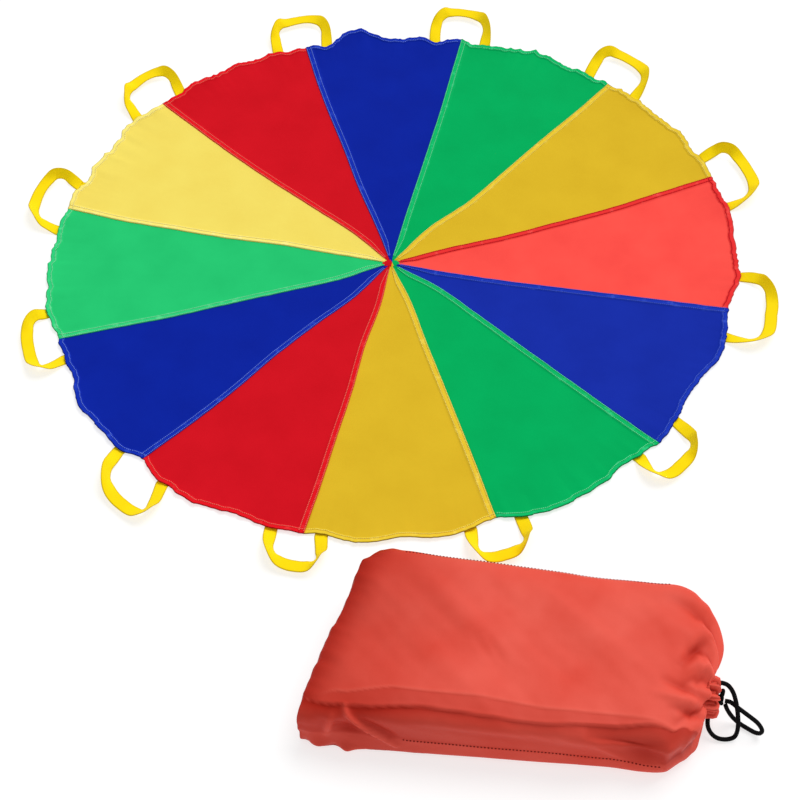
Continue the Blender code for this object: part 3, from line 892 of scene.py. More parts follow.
# %% Handle layout
webbing_width = 0.032
loop_stand = 0.012
handle_foot_spacing = 0.168
handle_reach = 0.125
loop_roll_deg = 64
foot_spacing_shares = (0.86, 0.88, 0.93, 1.15, 1.28, 0.87, 0.75, 0.73, 0.93, 1.02, 1.04, 0.91)
handle_offset_shares = (0.13, -0.04, -0.07, -0.10, 0.04, 0.05, -0.02, -0.12, 0.07, -0.06, -0.04, 0.09)
handle_lean_shares = (-0.10, 0.09, 0.15, 0.05, -0.12, -0.22, -0.08, 0.14, 0.35, 0.19, -0.17, -0.23)
handle_reach_shares = (1.05, 0.98, 1.01, 0.89, 0.97, 0.81, 1.03, 0.93, 1.17, 0.75, 0.91, 1.09)
loop_path_shares = (
    (0.00, 1.00, 0.00), (0.22, 1.03, 0.25), (0.46, 1.04, 0.45), (0.68, 0.97, 1.00), (0.86, 0.78, 0.85),
    (0.96, 0.48, 0.20), (1.00, 0.12, 0.05), (0.99, -0.26, 0.05), (0.92, -0.60, 0.30), (0.76, -0.88, 1.00),
    (0.52, -1.03, 1.00), (0.24, -1.03, 0.45), (0.00, -1.00, 0.00))
# Left and right corner of each handle, seen from the crown: reach, rounding and roll, as shares.
corner_shares = (
    ((1.06, 0.00, 0.95), (0.96, -0.05, 0.55)), ((0.98, 0.20, 0.80), (1.02, 0.02, 0.80)),
    ((1.00, 0.02, 0.90), (1.04, -0.04, 0.70)), ((1.00, 0.02, 1.00), (1.04, 0.04, 0.70)),
    ((1.02, 0.14, 0.85), (1.14, 0.06, 0.60)), ((1.10, -0.04, 1.00), (1.02, 0.04, 0.65)),
    ((1.04, -0.04, 1.00), (1.06, 0.00, 0.75)), ((0.98, 0.00, 0.95), (1.06, -0.04, 0.75)),
    ((1.02, -0.04, 0.70), (1.04, -0.04, 0.80)), ((1.06, 0.00, 0.66), (1.02, 0.00, 0.80)),
    ((1.00, -0.02, 0.80), (0.97, 0.02, 0.95)), ((1.02, -0.03, 1.05), (0.94, -0.04, 0.75)))
loop_stations = 96
end_stations = 12
strap_columns = 8


def hinge_of(handle):
    """A point and the direction of the line that the handle's loop swings about."""
    name = f"handle_{handle + 1:02d}_hinge"
    for joint in frame["joints"]:
        if joint["name"] == name:
            return Vector(joint["pos_m"]), Vector(joint["axis"])
    raise ValueError(name)


def handle_frame(handle):
    """The seam's end with the directions outward and anticlockwise of it."""
    outward = direction(seam_deg(handle))
    return outward * seam_reach(handle), outward, up.cross(outward)


def foot_places(handle):
    """Both feet as outward and sideways distances from the seam's end: they stand on the hinge line."""
    end, outward, sideways = handle_frame(handle)
    pivot, axis = hinge_of(handle)
    middle = handle_foot_spacing * handle_offset_shares[handle]
    half = 0.5 * handle_foot_spacing * foot_spacing_shares[handle]
    feet = []
    for side in (middle + half, middle - half):
        step = (side - (pivot - end).dot(sideways)) / axis.dot(sideways)
        feet.append(((pivot + axis * step - end).dot(outward), side))
    return feet, middle, half


def strap_line(handle, share):
    """Outward, sideways, roll and height of the loop's middle line at a share of the way along it."""
    feet, middle, half = foot_places(handle)
    reach = handle_reach * handle_reach_shares[handle] - 0.5 * webbing_width
    lean = handle_foot_spacing * handle_lean_shares[handle]
    out_share, side_share, roll_share = through_points(loop_path_shares, share)
    corner = [blend(a, b, smooth_step(2.0 * share - 0.5)) for a, b in zip(*corner_shares[handle])]
    out_share *= 1.0 + (corner[0] - 1.0) * min(abs(side_share), 1.0)
    side_share *= 1.0 - corner[1] * out_share * out_share
    roll_share *= corner[2]
    start = blend(feet[0][0], feet[1][0], share)
    roll = math.radians(loop_roll_deg) * roll_share
    height = 0.5 * webbing_width * abs(math.sin(roll)) + 0.5 * webbing_thickness
    height += loop_stand * smooth_step(out_share)
    return blend(start, reach, out_share), middle + half * side_share + lean * out_share, roll, height


def strap_station(handle, station):
    """The strap's middle line at a station, counted from the tip of the left sewn end to the right one's."""
    on_loop = station - end_stations
    if 0 <= on_loop <= loop_stations:
        return strap_line(handle, on_loop / loop_stations)
    feet, _, _ = foot_places(handle)
    foot, past = (feet[0], -on_loop) if on_loop < 0 else (feet[1], on_loop - loop_stations)
    return foot[0] - sewn_end_length * past / end_stations, foot[1], 0.0, 0.5 * webbing_thickness


print("loops reach out by", [round(handle_reach * share, 3) for share in handle_reach_shares], "m")

# %% [markdown]
# A strap could be a curve with a flat bevel, but a curve turns its bevel by its own rules and keeps no
# measure of the cloth. So a narrow grid is carried along the path, rolled where the tape stands on edge, and
# Solidify gives it the webbing's thickness. The strap stays where it is built, and the CAD model's handle and
# its sewn ends are hidden.


# %% Straps
selvedge_start_share = 0.78


def make_strap(handle):
    end, outward, sideways = handle_frame(handle)
    stations = loop_stations + 2 * end_stations
    line = [strap_station(handle, station) for station in range(stations + 1)]
    lengths = lengths_along([Vector(spot[:2]) for spot in line])
    shape, column, row = open_grid(stations, strap_columns)
    selvedge = shape.verts.layers.float.new("selvedge")
    places = {}
    for vert in shape.verts:
        station, edge = vert[column], 2.0 * vert[row] / strap_columns - 1.0
        before, after = line[max(station - 1, 0)], line[min(station + 1, stations)]
        along = Vector((after[0] - before[0], after[1] - before[1])).normalized()
        out, side, roll, height = line[station]
        flat = 0.5 * webbing_width * math.cos(roll) * edge
        vert.co = end + outward * (out - along.y * flat) + sideways * (side + along.x * flat)
        vert.co.z = height + 0.5 * webbing_width * math.sin(roll) * edge
        vert[selvedge] = ramp(abs(edge), selvedge_start_share, 1.0)
        places[vert] = (0.5 * webbing_width * edge, lengths[station])
    lay_uv(shape, "strap", places.get)
    piece = piece_from_bmesh(f"handle_{handle + 1:02d}_webbing", shape, webbing)
    give_thickness(piece, webbing_thickness, 0.0)
    apply_modifiers(piece)
    return piece, lengths[-1]


for handle in range(gore_count):
    strap, strap_length = make_strap(handle)
    name = f"handle_{handle + 1:02d}"
    pivot, axis = hinge_of(handle)
    away = axis.cross(up).normalized()
    if away.dot(direction(seam_deg(handle))) < 0.0:
        away = -away
    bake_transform(strap)
    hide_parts(name, f"{name}_left_end", f"{name}_right_end")
print("handles:", gore_count, "straps, the last one", round(strap_length, 3), "m long")

# %% [markdown]
# The bag is a long sack stuffed with folded cloth. A box blown up by a cloth simulation would look stuffed
# too, but nobody could say where its corners end up. So the sack is lofted through sections, each a rounded
# box, that narrow to the gathered mouth and go on into the casing, where the cord runs. The bag has its own
# frame: along it towards the mouth, across it to the back and up. Lobes of cloth bulge on both sides of the
# mouth. The whole sack has slumped a little towards the viewer, its two far corners are stuffed fuller than
# the rest, and its closed end runs askew and is cut off at the far corner.

# %% Bag sections
bag_length = 0.810
bag_width = 0.430
bag_height = 0.160
bag_turn_deg = -11
bag_back_share = 0.464
bag_mouth_width_share = 0.34
bag_mouth_height_share = 0.46
bag_mouth_side_share = -0.20
bag_top_width_share = 0.93
bag_base_boxy_share = 0.45
bag_settle_height = 0.004
bag_slump = 0.011
neck_start_share = 0.50
# How full the far and the near side are at places along the bag.
far_fullness = (
    (0.00, 1.06), (0.03, 1.05), (0.10, 1.01), (0.20, 0.995), (0.60, 1.00), (0.85, 1.065), (0.93, 1.05),
    (0.97, 1.02), (1.00, 0.96))
near_fullness = (
    (0.00, 0.97), (0.05, 1.00), (0.30, 1.02), (0.80, 1.03), (0.90, 1.04), (0.95, 1.04), (0.985, 0.92),
    (1.00, 0.84))
far_lobe_share = 1.15
near_lobe_share = 0.14
top_lobe_share = 0.50
end_skew_share = 0.20
mouth_skew_share = 0.12
end_outset = 0.009
end_outset_share = 0.12
end_chamfer_start = 0.180
end_chamfer_slope = 0.62
closed_end_share = 0.10
closed_end_height_share = 0.40
far_corner_boxy = 0.17
far_corner_share = 0.30
far_shoulder_place = 0.90
far_shoulder_width = 0.06
# Sections: place along the bag, width, height, how round the box is and how far its lobes bulge, as shares.
bag_sections = (
    (0.000, 0.00, 0.00, 0.30, 0.000), (0.001, 0.60, 0.42, 0.30, 0.000), (0.004, 1.00, 0.68, 0.30, 0.000),
    (0.022, 1.05, 0.82, 0.30, 0.000), (0.110, 1.06, 0.94, 0.30, 0.000), (0.260, 1.04, 1.00, 0.30, 0.000),
    (0.450, 1.02, 1.00, 0.30, 0.000), (0.640, 0.99, 0.98, 0.30, 0.000), (0.800, 0.97, 0.96, 0.35, 0.000),
    (0.900, 0.95, 0.92, 0.40, 0.000), (0.965, 0.90, 0.86, 0.50, 0.000), (1.000, 0.78, 0.76, 0.60, 0.010),
    (1.000, 0.56, 0.68, 0.80, 0.036), (1.000, 0.36, 0.60, 1.00, 0.030), (1.006, 0.235, 0.56, 1.00, 0.004),
    (1.016, 0.205, 0.54, 1.00, 0.000), (1.028, 0.200, 0.53, 1.00, 0.000), (1.038, 0.196, 0.52, 1.00, 0.000),
    (1.040, 0.15, 0.40, 1.00, 0.000), (1.034, 0.07, 0.19, 1.00, 0.000), (1.030, 0.00, 0.00, 1.00, 0.000))

mounts = {mount["name"]: Vector(mount["pos_m"]) for mount in frame["record"]["mounts"]}
bag_underside = mounts["bag_underside"]
bag_matrix = Matrix.Translation(bag_underside) @ Matrix.Rotation(math.radians(bag_turn_deg), 4, "Z")


def read_table(table, place):
    """A value from a table of places and values, eased between its rows."""
    place = min(max(place, table[0][0]), table[-1][0])
    for (start, first), (end, second) in zip(table, table[1:]):
        if place <= end:
            return blend(first, second, smooth_step((place - start) / (end - start)))
    return table[-1][1]


def section_at(place):
    """The bag's section at a place counted in rows of the table; its closed ends are straight."""
    last = len(bag_sections) - 1
    if place < 2.0 or place > last - 3.0:
        left = min(int(place), last - 1)
        return [blend(a, b, place - left) for a, b in zip(bag_sections[left], bag_sections[left + 1])]
    return through_points(bag_sections, place / last)


def section_point(section, angle):
    """A point of the bag's outline; the angle runs from the far side over the top, in radians."""
    place, wide, tall, boxy, lobe = section
    cosine, sine = math.cos(angle), math.sin(angle)
    far = cosine > 0.0
    if sine <= 0.0:
        boxy *= blend(bag_base_boxy_share, 1.0, smooth_step(place))
    elif far:
        shoulder = ridge(place - far_shoulder_place, far_shoulder_width)
        boxy = blend(far_corner_boxy, boxy, smooth_step(place / far_corner_share) * (1.0 - shoulder))
    full = blend(1.0, bag_top_width_share, max(sine, 0.0))
    full *= read_table(far_fullness if far else near_fullness, place)
    across = math.copysign(abs(cosine) ** boxy, cosine) * 0.5 * bag_width * wide * full
    high = math.copysign(abs(sine) ** boxy, sine) * 0.5 * bag_height * tall
    to_mouth = 0.0
    if place > neck_start_share:
        to_mouth = min(max((1.0 - wide) / (1.0 - bag_mouth_width_share), 0.0), 1.0)
    floor_level = 0.5 * bag_height * tall
    middle = blend(floor_level, bag_height * bag_mouth_height_share, to_mouth)
    if place < closed_end_share:
        end_level = blend(closed_end_height_share * bag_height, floor_level, place / closed_end_share)
        middle = max(floor_level, end_level)
    across += 0.5 * bag_width * bag_mouth_side_share * to_mouth - bag_slump * (1.0 - to_mouth)
    lobe *= (far_lobe_share if far else near_lobe_share) * cosine ** 2 + top_lobe_share * max(sine, 0.0) ** 2
    skew = blend(end_skew_share, mouth_skew_share, place) * (1.0 - to_mouth)
    along = bag_length * (place + lobe - bag_back_share) + skew * across
    outset = end_outset - end_chamfer_slope * max(across - end_chamfer_start, 0.0)
    along -= outset * (1.0 - smooth_step(place / end_outset_share))
    height = middle + high
    return Vector((along, across, height if height > bag_settle_height else 0.0))


print("the bag stands at", [round(value, 3) for value in bag_underside])

# %% [markdown]
# A section walked by its angle has nearly all its points at the corners, and a modifier that evens out the
# faces would blur them. So each ring is walked again in even steps of length. The way round from the middle
# of the top, positive to the front, then serves as the second measure on the cloth, for creases and weave.

# %% Bag rings
bag_around = 288
bag_ring_step = 0.0052
outline_samples = 720
shortest_stretch = 1e-9


def even_ring(section):
    """Points at even steps round a section, from the middle of its underside over the back and the top."""
    rough = [section_point(section, -0.5 * math.pi + 2.0 * math.pi * step / outline_samples)
             for step in range(outline_samples + 1)]
    lengths = lengths_along(rough)
    ring, index = [], 0
    for step in range(bag_around + 1):
        wanted = lengths[-1] * step / bag_around
        while index < outline_samples - 1 and lengths[index + 1] < wanted:
            index += 1
        stretch = max(lengths[index + 1] - lengths[index], shortest_stretch)
        ring.append(rough[index].lerp(rough[index + 1], min((wanted - lengths[index]) / stretch, 1.0)))
    return ring, lengths[-1]


def ring_places():
    """Places along the table whose rings lie about one step apart on the cloth."""
    places = [0.0]
    for row in range(len(bag_sections) - 1):
        ends = [section_point(section_at(place), 0.5 * math.pi) for place in (row, row + 1.0)]
        sides = [section_point(section_at(place), 0.0) for place in (row, row + 1.0)]
        length = max((ends[1] - ends[0]).length, (sides[1] - sides[0]).length)
        count = max(2, round(length / bag_ring_step))
        places += [row + (step + 1) / count for step in range(count)]
    return places


print("rings along the bag:", len(ring_places()))

# %% [markdown]
# Cloth that is stuffed and gathered folds in a few typical ways. Long soft waves cross the top at a slant,
# with a few short sharp creases. A seam allowance shows through as a band along the front edge, between two
# creases. The front wall is sucked in and has a tucked corner at the closed end and a deep dent near the
# mouth. Sculpting them would leave nothing that can be read or changed by a value. So each fold is a line in
# a table, and all folds together push the cloth out of the loft, in metres. The same tables say where shade
# is painted, which the finish shows as a deeper red.

# %% Where the bag's folds lie
# The two creases of the band, as places along the bag and the way round it.
upper_crease = (
    (-0.40, 0.205), (-0.337, 0.172), (-0.211, 0.142), (-0.05, 0.140), (0.141, 0.147), (0.30, 0.150),
    (0.42, 0.150))
lower_crease = (
    (-0.40, 0.215), (-0.316, 0.200), (-0.149, 0.180), (0.041, 0.184), (0.248, 0.176), (0.36, 0.160),
    (0.42, 0.150))
# Folds on the top and at the mouth: both ends as along and across, then the fold's height and width.
top_folds = (
    ((-0.230, 0.148), (0.008, -0.063), 0.0055, 0.030), ((-0.290, 0.080), (-0.060, -0.090), -0.0035, 0.030),
    ((-0.100, 0.160), (0.120, -0.060), -0.0040, 0.034), ((0.060, 0.150), (0.260, -0.020), 0.0045, 0.040),
    ((-0.073, 0.002), (-0.005, -0.080), -0.0034, 0.013), ((-0.042, -0.002), (0.009, -0.071), -0.0026, 0.010),
    ((-0.170, 0.120), (-0.035, -0.010), 0.0040, 0.024))
mouth_folds = (
    ((0.438, 0.069), (0.385, -0.010), -0.0130, 0.012), ((0.452, 0.015), (0.400, -0.040), 0.0060, 0.014),
    ((0.350, -0.055), (0.446, -0.081), -0.0080, 0.011), ((0.370, -0.119), (0.450, -0.116), -0.0080, 0.010),
    ((0.330, -0.090), (0.440, -0.100), 0.0050, 0.011), ((0.300, 0.130), (0.420, 0.030), 0.0040, 0.025),
    ((0.340, 0.160), (0.440, 0.110), -0.0050, 0.016))
# Folds on the front wall: both ends as along and height, then the height and the width of the fold.
wall_folds = (
    ((-0.322, 0.145), (-0.210, 0.034), 0.0150, 0.0062), ((-0.290, 0.135), (-0.205, 0.055), -0.0060, 0.0110),
    ((-0.346, 0.125), (-0.362, 0.050), 0.0090, 0.0080), ((-0.338, 0.098), (-0.285, 0.055), -0.0095, 0.0190),
    ((-0.345, 0.100), (-0.322, 0.088), 0.0030, 0.0038), ((-0.335, 0.062), (-0.290, 0.056), 0.0030, 0.0038),
    ((-0.330, 0.010), (-0.270, 0.006), 0.0060, 0.0090), ((0.205, 0.138), (0.385, 0.122), -0.0120, 0.0110),
    ((0.270, 0.106), (0.385, 0.080), -0.0170, 0.0310), ((0.222, 0.105), (0.280, 0.066), 0.0040, 0.0080),
    ((-0.160, 0.120), (0.180, 0.090), -0.0030, 0.0160))
# Bulges of bunched cloth along the foot of the closed end: along, height, reach and size.
foot_bulges = ((-0.425, 0.035, -0.004, 0.022), (-0.378, 0.012, 0.009, 0.017), (-0.348, 0.006, -0.006, 0.008),
               (-0.318, 0.010, 0.012, 0.015), (-0.408, 0.008, -0.006, 0.009))
fold_end_share = 0.35
fold_reach_widths = 3.0


def from_line(point, start, end):
    """How far a point lies from a straight fold and its place along that fold."""
    line = Vector(end) - Vector(start)
    offset = Vector(point) - Vector(start)
    share = min(max(offset.dot(line) / line.length_squared, 0.0), 1.0)
    return (offset - line * share).length, share


def push_of_folds(folds, point):
    """All folds of a table at a point. A fold fades in and out along its line."""
    push = 0.0
    for start, end, height, width in folds:
        distance, share = from_line(point, start, end)
        if distance < fold_reach_widths * width:
            push += height * ridge(distance, width) * blend(fold_end_share, 1.0, math.sin(math.pi * share))
    return push


print("folds on top, mouth and wall:", len(top_folds), len(mouth_folds), len(wall_folds))

# %% [markdown]
# The top carries waves and the two creases of the band. A crease is a narrow ridge with a step down beyond
# it. Both could be bump in the finish, but the light has to catch the ridge and leave the step dark.

# %% Waves and creases
wave_slant_deg = -42
wave_height = 0.0060
wave_length = 0.34
wave_width = 0.085
wave_seed = 2.0
ripple_height = 0.0012
ripple_length = 0.12
ripple_width = 0.030
ripple_seed = 9.0
# A crease's ridge with its height, its offset and its width, then the step beyond it with its drop and run.
upper_crease_profile = (0.0009, 0.0, 0.0032, 0.0013, 0.0040)
lower_crease_profile = (0.0012, 0.002, 0.0045, 0.0055, 0.0032)


def waves_at(along, around):
    """Long waves at a slant with finer ripples on them, in metres."""
    slant = math.radians(wave_slant_deg)
    lengthwise = along * math.cos(slant) - around * math.sin(slant)
    crosswise = along * math.sin(slant) + around * math.cos(slant)
    wave = noise.noise(Vector((lengthwise / wave_length, crosswise / wave_width, wave_seed)))
    ripple = noise.noise(Vector((lengthwise / ripple_length, crosswise / ripple_width, ripple_seed)))
    return wave_height * wave + ripple_height * ripple


def crease_push(beyond, profile):
    """A crease's push at a distance beyond its line."""
    height, offset, width, drop, run = profile
    return height * ridge(beyond + offset, width) - drop * smooth_step(beyond / run)


print("waves are", wave_length, "m long and lie", wave_slant_deg, "degrees from the bag's length")

# %% [markdown]
# Below the band the front wall sinks in between the floor and the creases. Painted shade darkens the wall,
# most just under the lower crease and at its very foot, and the folds' hollows are painted darker still. A
# strip of hem runs along its foot with less painted shade than the wall above it.

# %% Front wall
wall_height = 0.15
wall_suck = 0.0080
hem_line_height = 0.059
hem_line_step = 0.004
hem_strip_rise = 0.0016
crease_shade = 0.34
crease_shade_width = 0.020
wall_edge_run = 0.003
wall_hollow_shade = 28.0
wall_fold_clear_height = 0.009
foot_shade = 0.8
foot_shade_height = 0.006
foot_front_around = 0.15
# How much shade is painted at places along the bag: in the band, on the wall and in the strip of hem.
band_shades = ((-0.32, 0.60), (0.02, 0.30))
wall_shades = ((-0.28, 0.66), (0.08, 0.22), (0.24, 0.22), (0.34, 0.36))
strip_shades = ((-0.28, 0.44), (0.02, 0.10))


def wall_at(along, height, lower, clear):
    """The front wall's push out of the loft and the shade painted on it."""
    folds = push_of_folds(wall_folds, (along, height))
    sunk = math.sin(math.pi * min(max(height / wall_height, 0.0), 1.0))
    strip = smooth_step((hem_line_height - height) / hem_line_step)
    push = folds + (hem_strip_rise * strip - wall_suck * sunk) * clear
    deep = read_table(wall_shades, along) + crease_shade * ridge(lower, crease_shade_width)
    painted_shade = blend(deep, read_table(strip_shades, along), strip)
    painted_shade = blend(read_table(band_shades, along), painted_shade, smooth_step(lower / wall_edge_run))
    painted_shade -= min(folds, 0.0) * wall_hollow_shade
    painted_shade = blend(painted_shade, 0.0, min(max(folds, 0.0) / wall_fold_clear_height, 1.0))
    return push, blend(painted_shade, 1.0, foot_shade * (1.0 - smooth_step(height / foot_shade_height)))


def foot_bulge(along, around, height):
    """Bunched cloth at the foot of the closed end, in metres."""
    if around < foot_front_around:
        return 0.0
    return sum(reach * ridge(math.hypot(along - start, height - level), size)
               for start, level, reach, size in foot_bulges)


print("the hem of the front wall is", hem_line_height, "m high")

# %% [markdown]
# Pulled together by the cord, the cloth lies in pleats that run into the mouth from all round and end as the
# casing's small frill. They swirl a little, because no hand gathers cloth evenly.

# %% Gathers at the mouth
pleat_count = 10
pleat_height = 0.0068
pleat_places = (0.89, 1.00)
pleat_shade = 0.50
pleat_shade_places = (0.92, 1.00)
pleat_swirl = 3.0
swirl_size = 1.2
swirl_growth = 4.0
frill_count = 29
frill_height = 0.0016
frill_places = (1.004, 1.014)
frill_shade = 0.6


def gathers_at(place, turn):
    """The push of the pleats and the frill, and the shade painted in their grooves."""
    around = (math.cos(turn) * swirl_size, math.sin(turn) * swirl_size)
    swirl = noise.noise(Vector((*around, place * swirl_growth)))
    pleat = math.cos(pleat_count * turn + pleat_swirl * swirl)
    frill = math.cos(frill_count * turn) * ramp(place, *frill_places)
    push = pleat_height * ramp(place, *pleat_places) * pleat + frill_height * frill
    painted_shade = pleat_shade * max(-pleat, 0.0) ** 3 * ramp(place, *pleat_shade_places)
    return push, painted_shade + frill_shade * max(-frill, 0.0)


print("gathers:", pleat_count, "pleats and", frill_count, "folds in the frill")

# %% [markdown]
# All of this adds up at each point of the cloth. Every part fades out where it doesn't belong: the creases
# towards both ends, the folds of the top beyond its edges and the puckers away from the closed end's seam.

# %% All folds together
mouth_places = (0.80, 1.00)
top_edge_heights = (0.09, 0.12)
back_edge_places = (-0.22, -0.14)
wave_wall_share = 0.2
crease_highlight_places = (-0.40, -0.34)
crease_highlight_width = 0.0030
mouth_hollow_shade = 50.0
mouth_calm_share = 0.6
end_shades = ((0.00, 0.55), (closed_end_share, 0.00))
wide_end_shades = ((0.00, 0.42), (0.48, 0.00))
wall_end_shade_share = 0.4
end_pucker_pitch = 0.021
end_pucker_height = 0.0024
end_pucker_seed = 4.0


def bag_push(spot, around, place, turn):
    """How far the cloth stands out of the plain loft, in metres, the shade painted on it and the painted
    highlight on the upper crease.
    """
    along, across, height = spot
    mouth = ramp(place, *mouth_places)
    closed = 1.0 - smooth_step(place / closed_end_share)
    clear = (1.0 - closed) * (1.0 - mouth)
    on_top = ramp(height, *top_edge_heights) * ramp(around, *back_edge_places)
    upper = around - read_table(upper_crease, along)
    lower = around - read_table(lower_crease, along)
    at_mouth = push_of_folds(mouth_folds, (along, across)) * on_top
    push = waves_at(along, around) * blend(wave_wall_share, 1.0, on_top)
    push += push_of_folds(top_folds, (along, across)) * on_top + at_mouth
    push += (crease_push(upper, upper_crease_profile) + crease_push(lower, lower_crease_profile)) * clear
    # Painted shade, darker towards the closed end, with less of it on the front wall.
    end_shade = read_table(end_shades, place) + read_table(wide_end_shades, place)
    if lower > 0.0:
        wall_push, painted_shade = wall_at(along, height, lower, clear)
        push += wall_push
        end_shade *= wall_end_shade_share
    else:
        painted_shade = read_table(band_shades, along) * smooth_step(upper / upper_crease_profile[-1])
        painted_shade *= 1.0 - mouth_calm_share * mouth
    painted_shade = max(painted_shade, end_shade) + max(-at_mouth, 0.0) * mouth_hollow_shade
    gather_push, gather_shade = gathers_at(place, turn)
    pucker = noise.noise(Vector((around / end_pucker_pitch, 0.0, end_pucker_seed)))
    push += end_pucker_height * pucker * closed + gather_push
    # Painted highlight along the upper crease, where the ridge catches the light.
    crease_highlight = ridge(upper, crease_highlight_width) * clear * ramp(along, *crease_highlight_places)
    return push, min(max(painted_shade + gather_shade, 0.0), 1.0), crease_highlight


# %% [markdown]
# The sack is one grid rolled up round the sections. Lofting curves with an add-on would give the same form,
# but the grid also keeps each vertex's way along and around the cloth, which become its UV map. Where the
# sack stands on the floor the pushes fade out, so that it rests flat. The grid's two long edges run along the
# middle of the underside and are merged where they lie together. They don't everywhere: the shell is open
# under the sack by a few millimetres and at the foot of its closed end by up to a centimetre.


# %% Bag shell
floor_fade_height = 0.012
tip_fade_girth = 0.10
seam_merge_distance = 0.00002


def make_bag():
    places = ring_places()
    shape, column, row = open_grid(bag_around, len(places) - 1)
    around_layer, along_layer, painted_shade_layer, crease_highlight_layer = (
        shape.verts.layers.float.new(name) for name in ("around", "along", "painted_shade", "crease_highlight"))
    rings = [even_ring(section_at(place)) for place in places]
    shares = [section_at(place)[0] for place in places]
    travelled = lengths_along([ring[bag_around // 2] for ring, _ in rings])
    for vert in shape.verts:
        ring, girth = rings[vert[row]]
        vert.co = ring[vert[column]]
        vert[around_layer] = girth * (vert[column] / bag_around - 0.5)
        vert[along_layer] = travelled[vert[row]]
    shape.normal_update()
    outwards = 1.0 if sum(face.normal.z * face.calc_center_median().z for face in shape.faces) > 0.0 else -1.0
    pushes = {}
    for vert in shape.verts:
        turn = 2.0 * math.pi * vert[column] / bag_around
        push, painted_shade, crease_highlight = bag_push(vert.co, vert[around_layer], shares[vert[row]], turn)
        vert[painted_shade_layer] = painted_shade
        vert[crease_highlight_layer] = crease_highlight
        grounded = smooth_step(vert.co.z / floor_fade_height)
        tip = smooth_step(rings[vert[row]][1] / tip_fade_girth)
        level = Vector((vert.normal.x, vert.normal.y, 0.0)) * outwards
        bulge = foot_bulge(vert.co.x, vert[around_layer], vert.co.z) * tip
        pushes[vert] = vert.normal * (outwards * push * grounded * tip) + level * bulge
    for vert, push in pushes.items():
        vert.co += push
        vert.co.z = max(vert.co.z, 0.0)
    lay_uv(shape, "cloth", lambda vert: (vert[around_layer], vert[along_layer]))
    bmesh.ops.remove_doubles(shape, verts=shape.verts, dist=seam_merge_distance)
    bmesh.ops.transform(shape, matrix=bag_matrix, verts=shape.verts)
    bmesh.ops.recalc_face_normals(shape, faces=shape.faces)
    return shape


bag_shape = make_bag()
bag_surface = BVHTree.FromBMesh(bag_shape)
open_edges = sum(edge.is_boundary for edge in bag_shape.edges)
print("bag:", len(bag_shape.faces), "faces and", open_edges, "open edges")

# %% [markdown]
# The bag's nylon is glossier than the canopy's and a warmer red. Shade is painted on it as a deeper red,
# along the front wall, in the band, towards the closed end and in the folds, and a painted highlight runs
# along the upper crease. A second material for those places would end in hard edges, so the stored values
# mix the colours instead.

# %% Bag finish
bag_roughness = 0.48
bag_specular = 0.07
bag_dye_patch_size = 0.22
bag_dye_patch_range = (0.35, 0.70)
bag_crinkle_size = 0.024
bag_crinkle_depth = 0.0014
bag_crinkle_strength = 0.6
bag_light_red = linear(230, 92, 77)
bag_red = linear(218, 70, 54)
bag_shade_red = linear(168, 32, 18)
bag_crease_highlight_red = linear(246, 122, 106)
bag_crease_highlight_share = 0.16


def make_bag_nylon():
    material, shader = new_material("bag_red_nylon", bag_roughness, bag_specular)
    cloth = uv_places(material, "cloth")
    patches = spread(material, noise_field(material, cloth, bag_dye_patch_size), *bag_dye_patch_range)
    ground = mix_colors(material, bag_light_red, bag_red, patches)
    # Painted shade: the stored value turns the red deeper wherever shade falls on the bag.
    with_painted_shade = mix_colors(material, ground, bag_shade_red, stored_value(material, "painted_shade"))
    # Painted highlight: a lighter red along the upper crease.
    crease = multiply(material, stored_value(material, "crease_highlight"), bag_crease_highlight_share)
    seen = mix_colors(material, with_painted_shade, bag_crease_highlight_red, crease)
    join(material, seen, shader.inputs["Base Color"])
    relief = crinkled_weave(material, cloth, bag_crinkle_size, bag_crinkle_depth, bag_crinkle_strength)
    join(material, relief, shader.inputs["Normal"])
    return material


bag = piece_from_bmesh("bag_cloth", bag_shape, make_bag_nylon())
print("bag finish:", bag.data.materials[0].name)

# %% [markdown]
# A line of dark stitches holds the hem of the front wall, and another runs along the far seam. The surface
# under them is pushed about by folds, so no formula says where it lies. A ray from outside the bag finds the
# cloth under each end of each stitch.

# %% Bag stitches
bag_stitch_pitch = 0.0076
bag_stitch_length = 0.0046
bag_thread_width = 0.0030
bag_thread_rise_share = 0.2
bag_thread = make_thread("bag_thread", linear(116, 16, 14))
# Both ends of each row in the bag's frame, outside the bag, and the way in which its rays look for the cloth.
bag_stitch_rows = (
    ((-0.195, -0.30, 0.056), (0.280, -0.30, 0.060), (0.0, 1.0, 0.0)),
    ((0.280, -0.30, 0.060), (0.362, -0.30, 0.050), (0.0, 1.0, 0.0)),
    ((-0.250, 0.36, 0.268), (0.350, 0.36, 0.268), (0.0, -0.777, -0.629)))


def sew_bag_row(shape, start, end, towards):
    count = int((Vector(end) - Vector(start)).length / bag_stitch_pitch)
    way = (bag_matrix.to_3x3() @ Vector(towards)).normalized()
    for number in range(count):
        places = []
        for step in (number, number + bag_stitch_length / bag_stitch_pitch):
            origin = bag_matrix @ Vector(start).lerp(Vector(end), step / count)
            found = bag_surface.ray_cast(origin, way)[0]
            if found is not None:
                places.append(found - way * bag_thread_rise_share * bag_thread_width)
        if len(places) == 2:
            add_bead(shape, *places, (places[1] - places[0]).length, bag_thread_width)


stitch_shape = bmesh.new()
for stitch_row in bag_stitch_rows:
    sew_bag_row(stitch_shape, *stitch_row)
bag_stitches = piece_from_bmesh("bag_stitches", stitch_shape, bag_thread)
print("bag stitches:", len(bag_stitches.data.polygons) // bead_faces)
for piece in (bag, bag_stitches):
    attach(piece, "bag")
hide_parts("bag_body", "bag_casing")

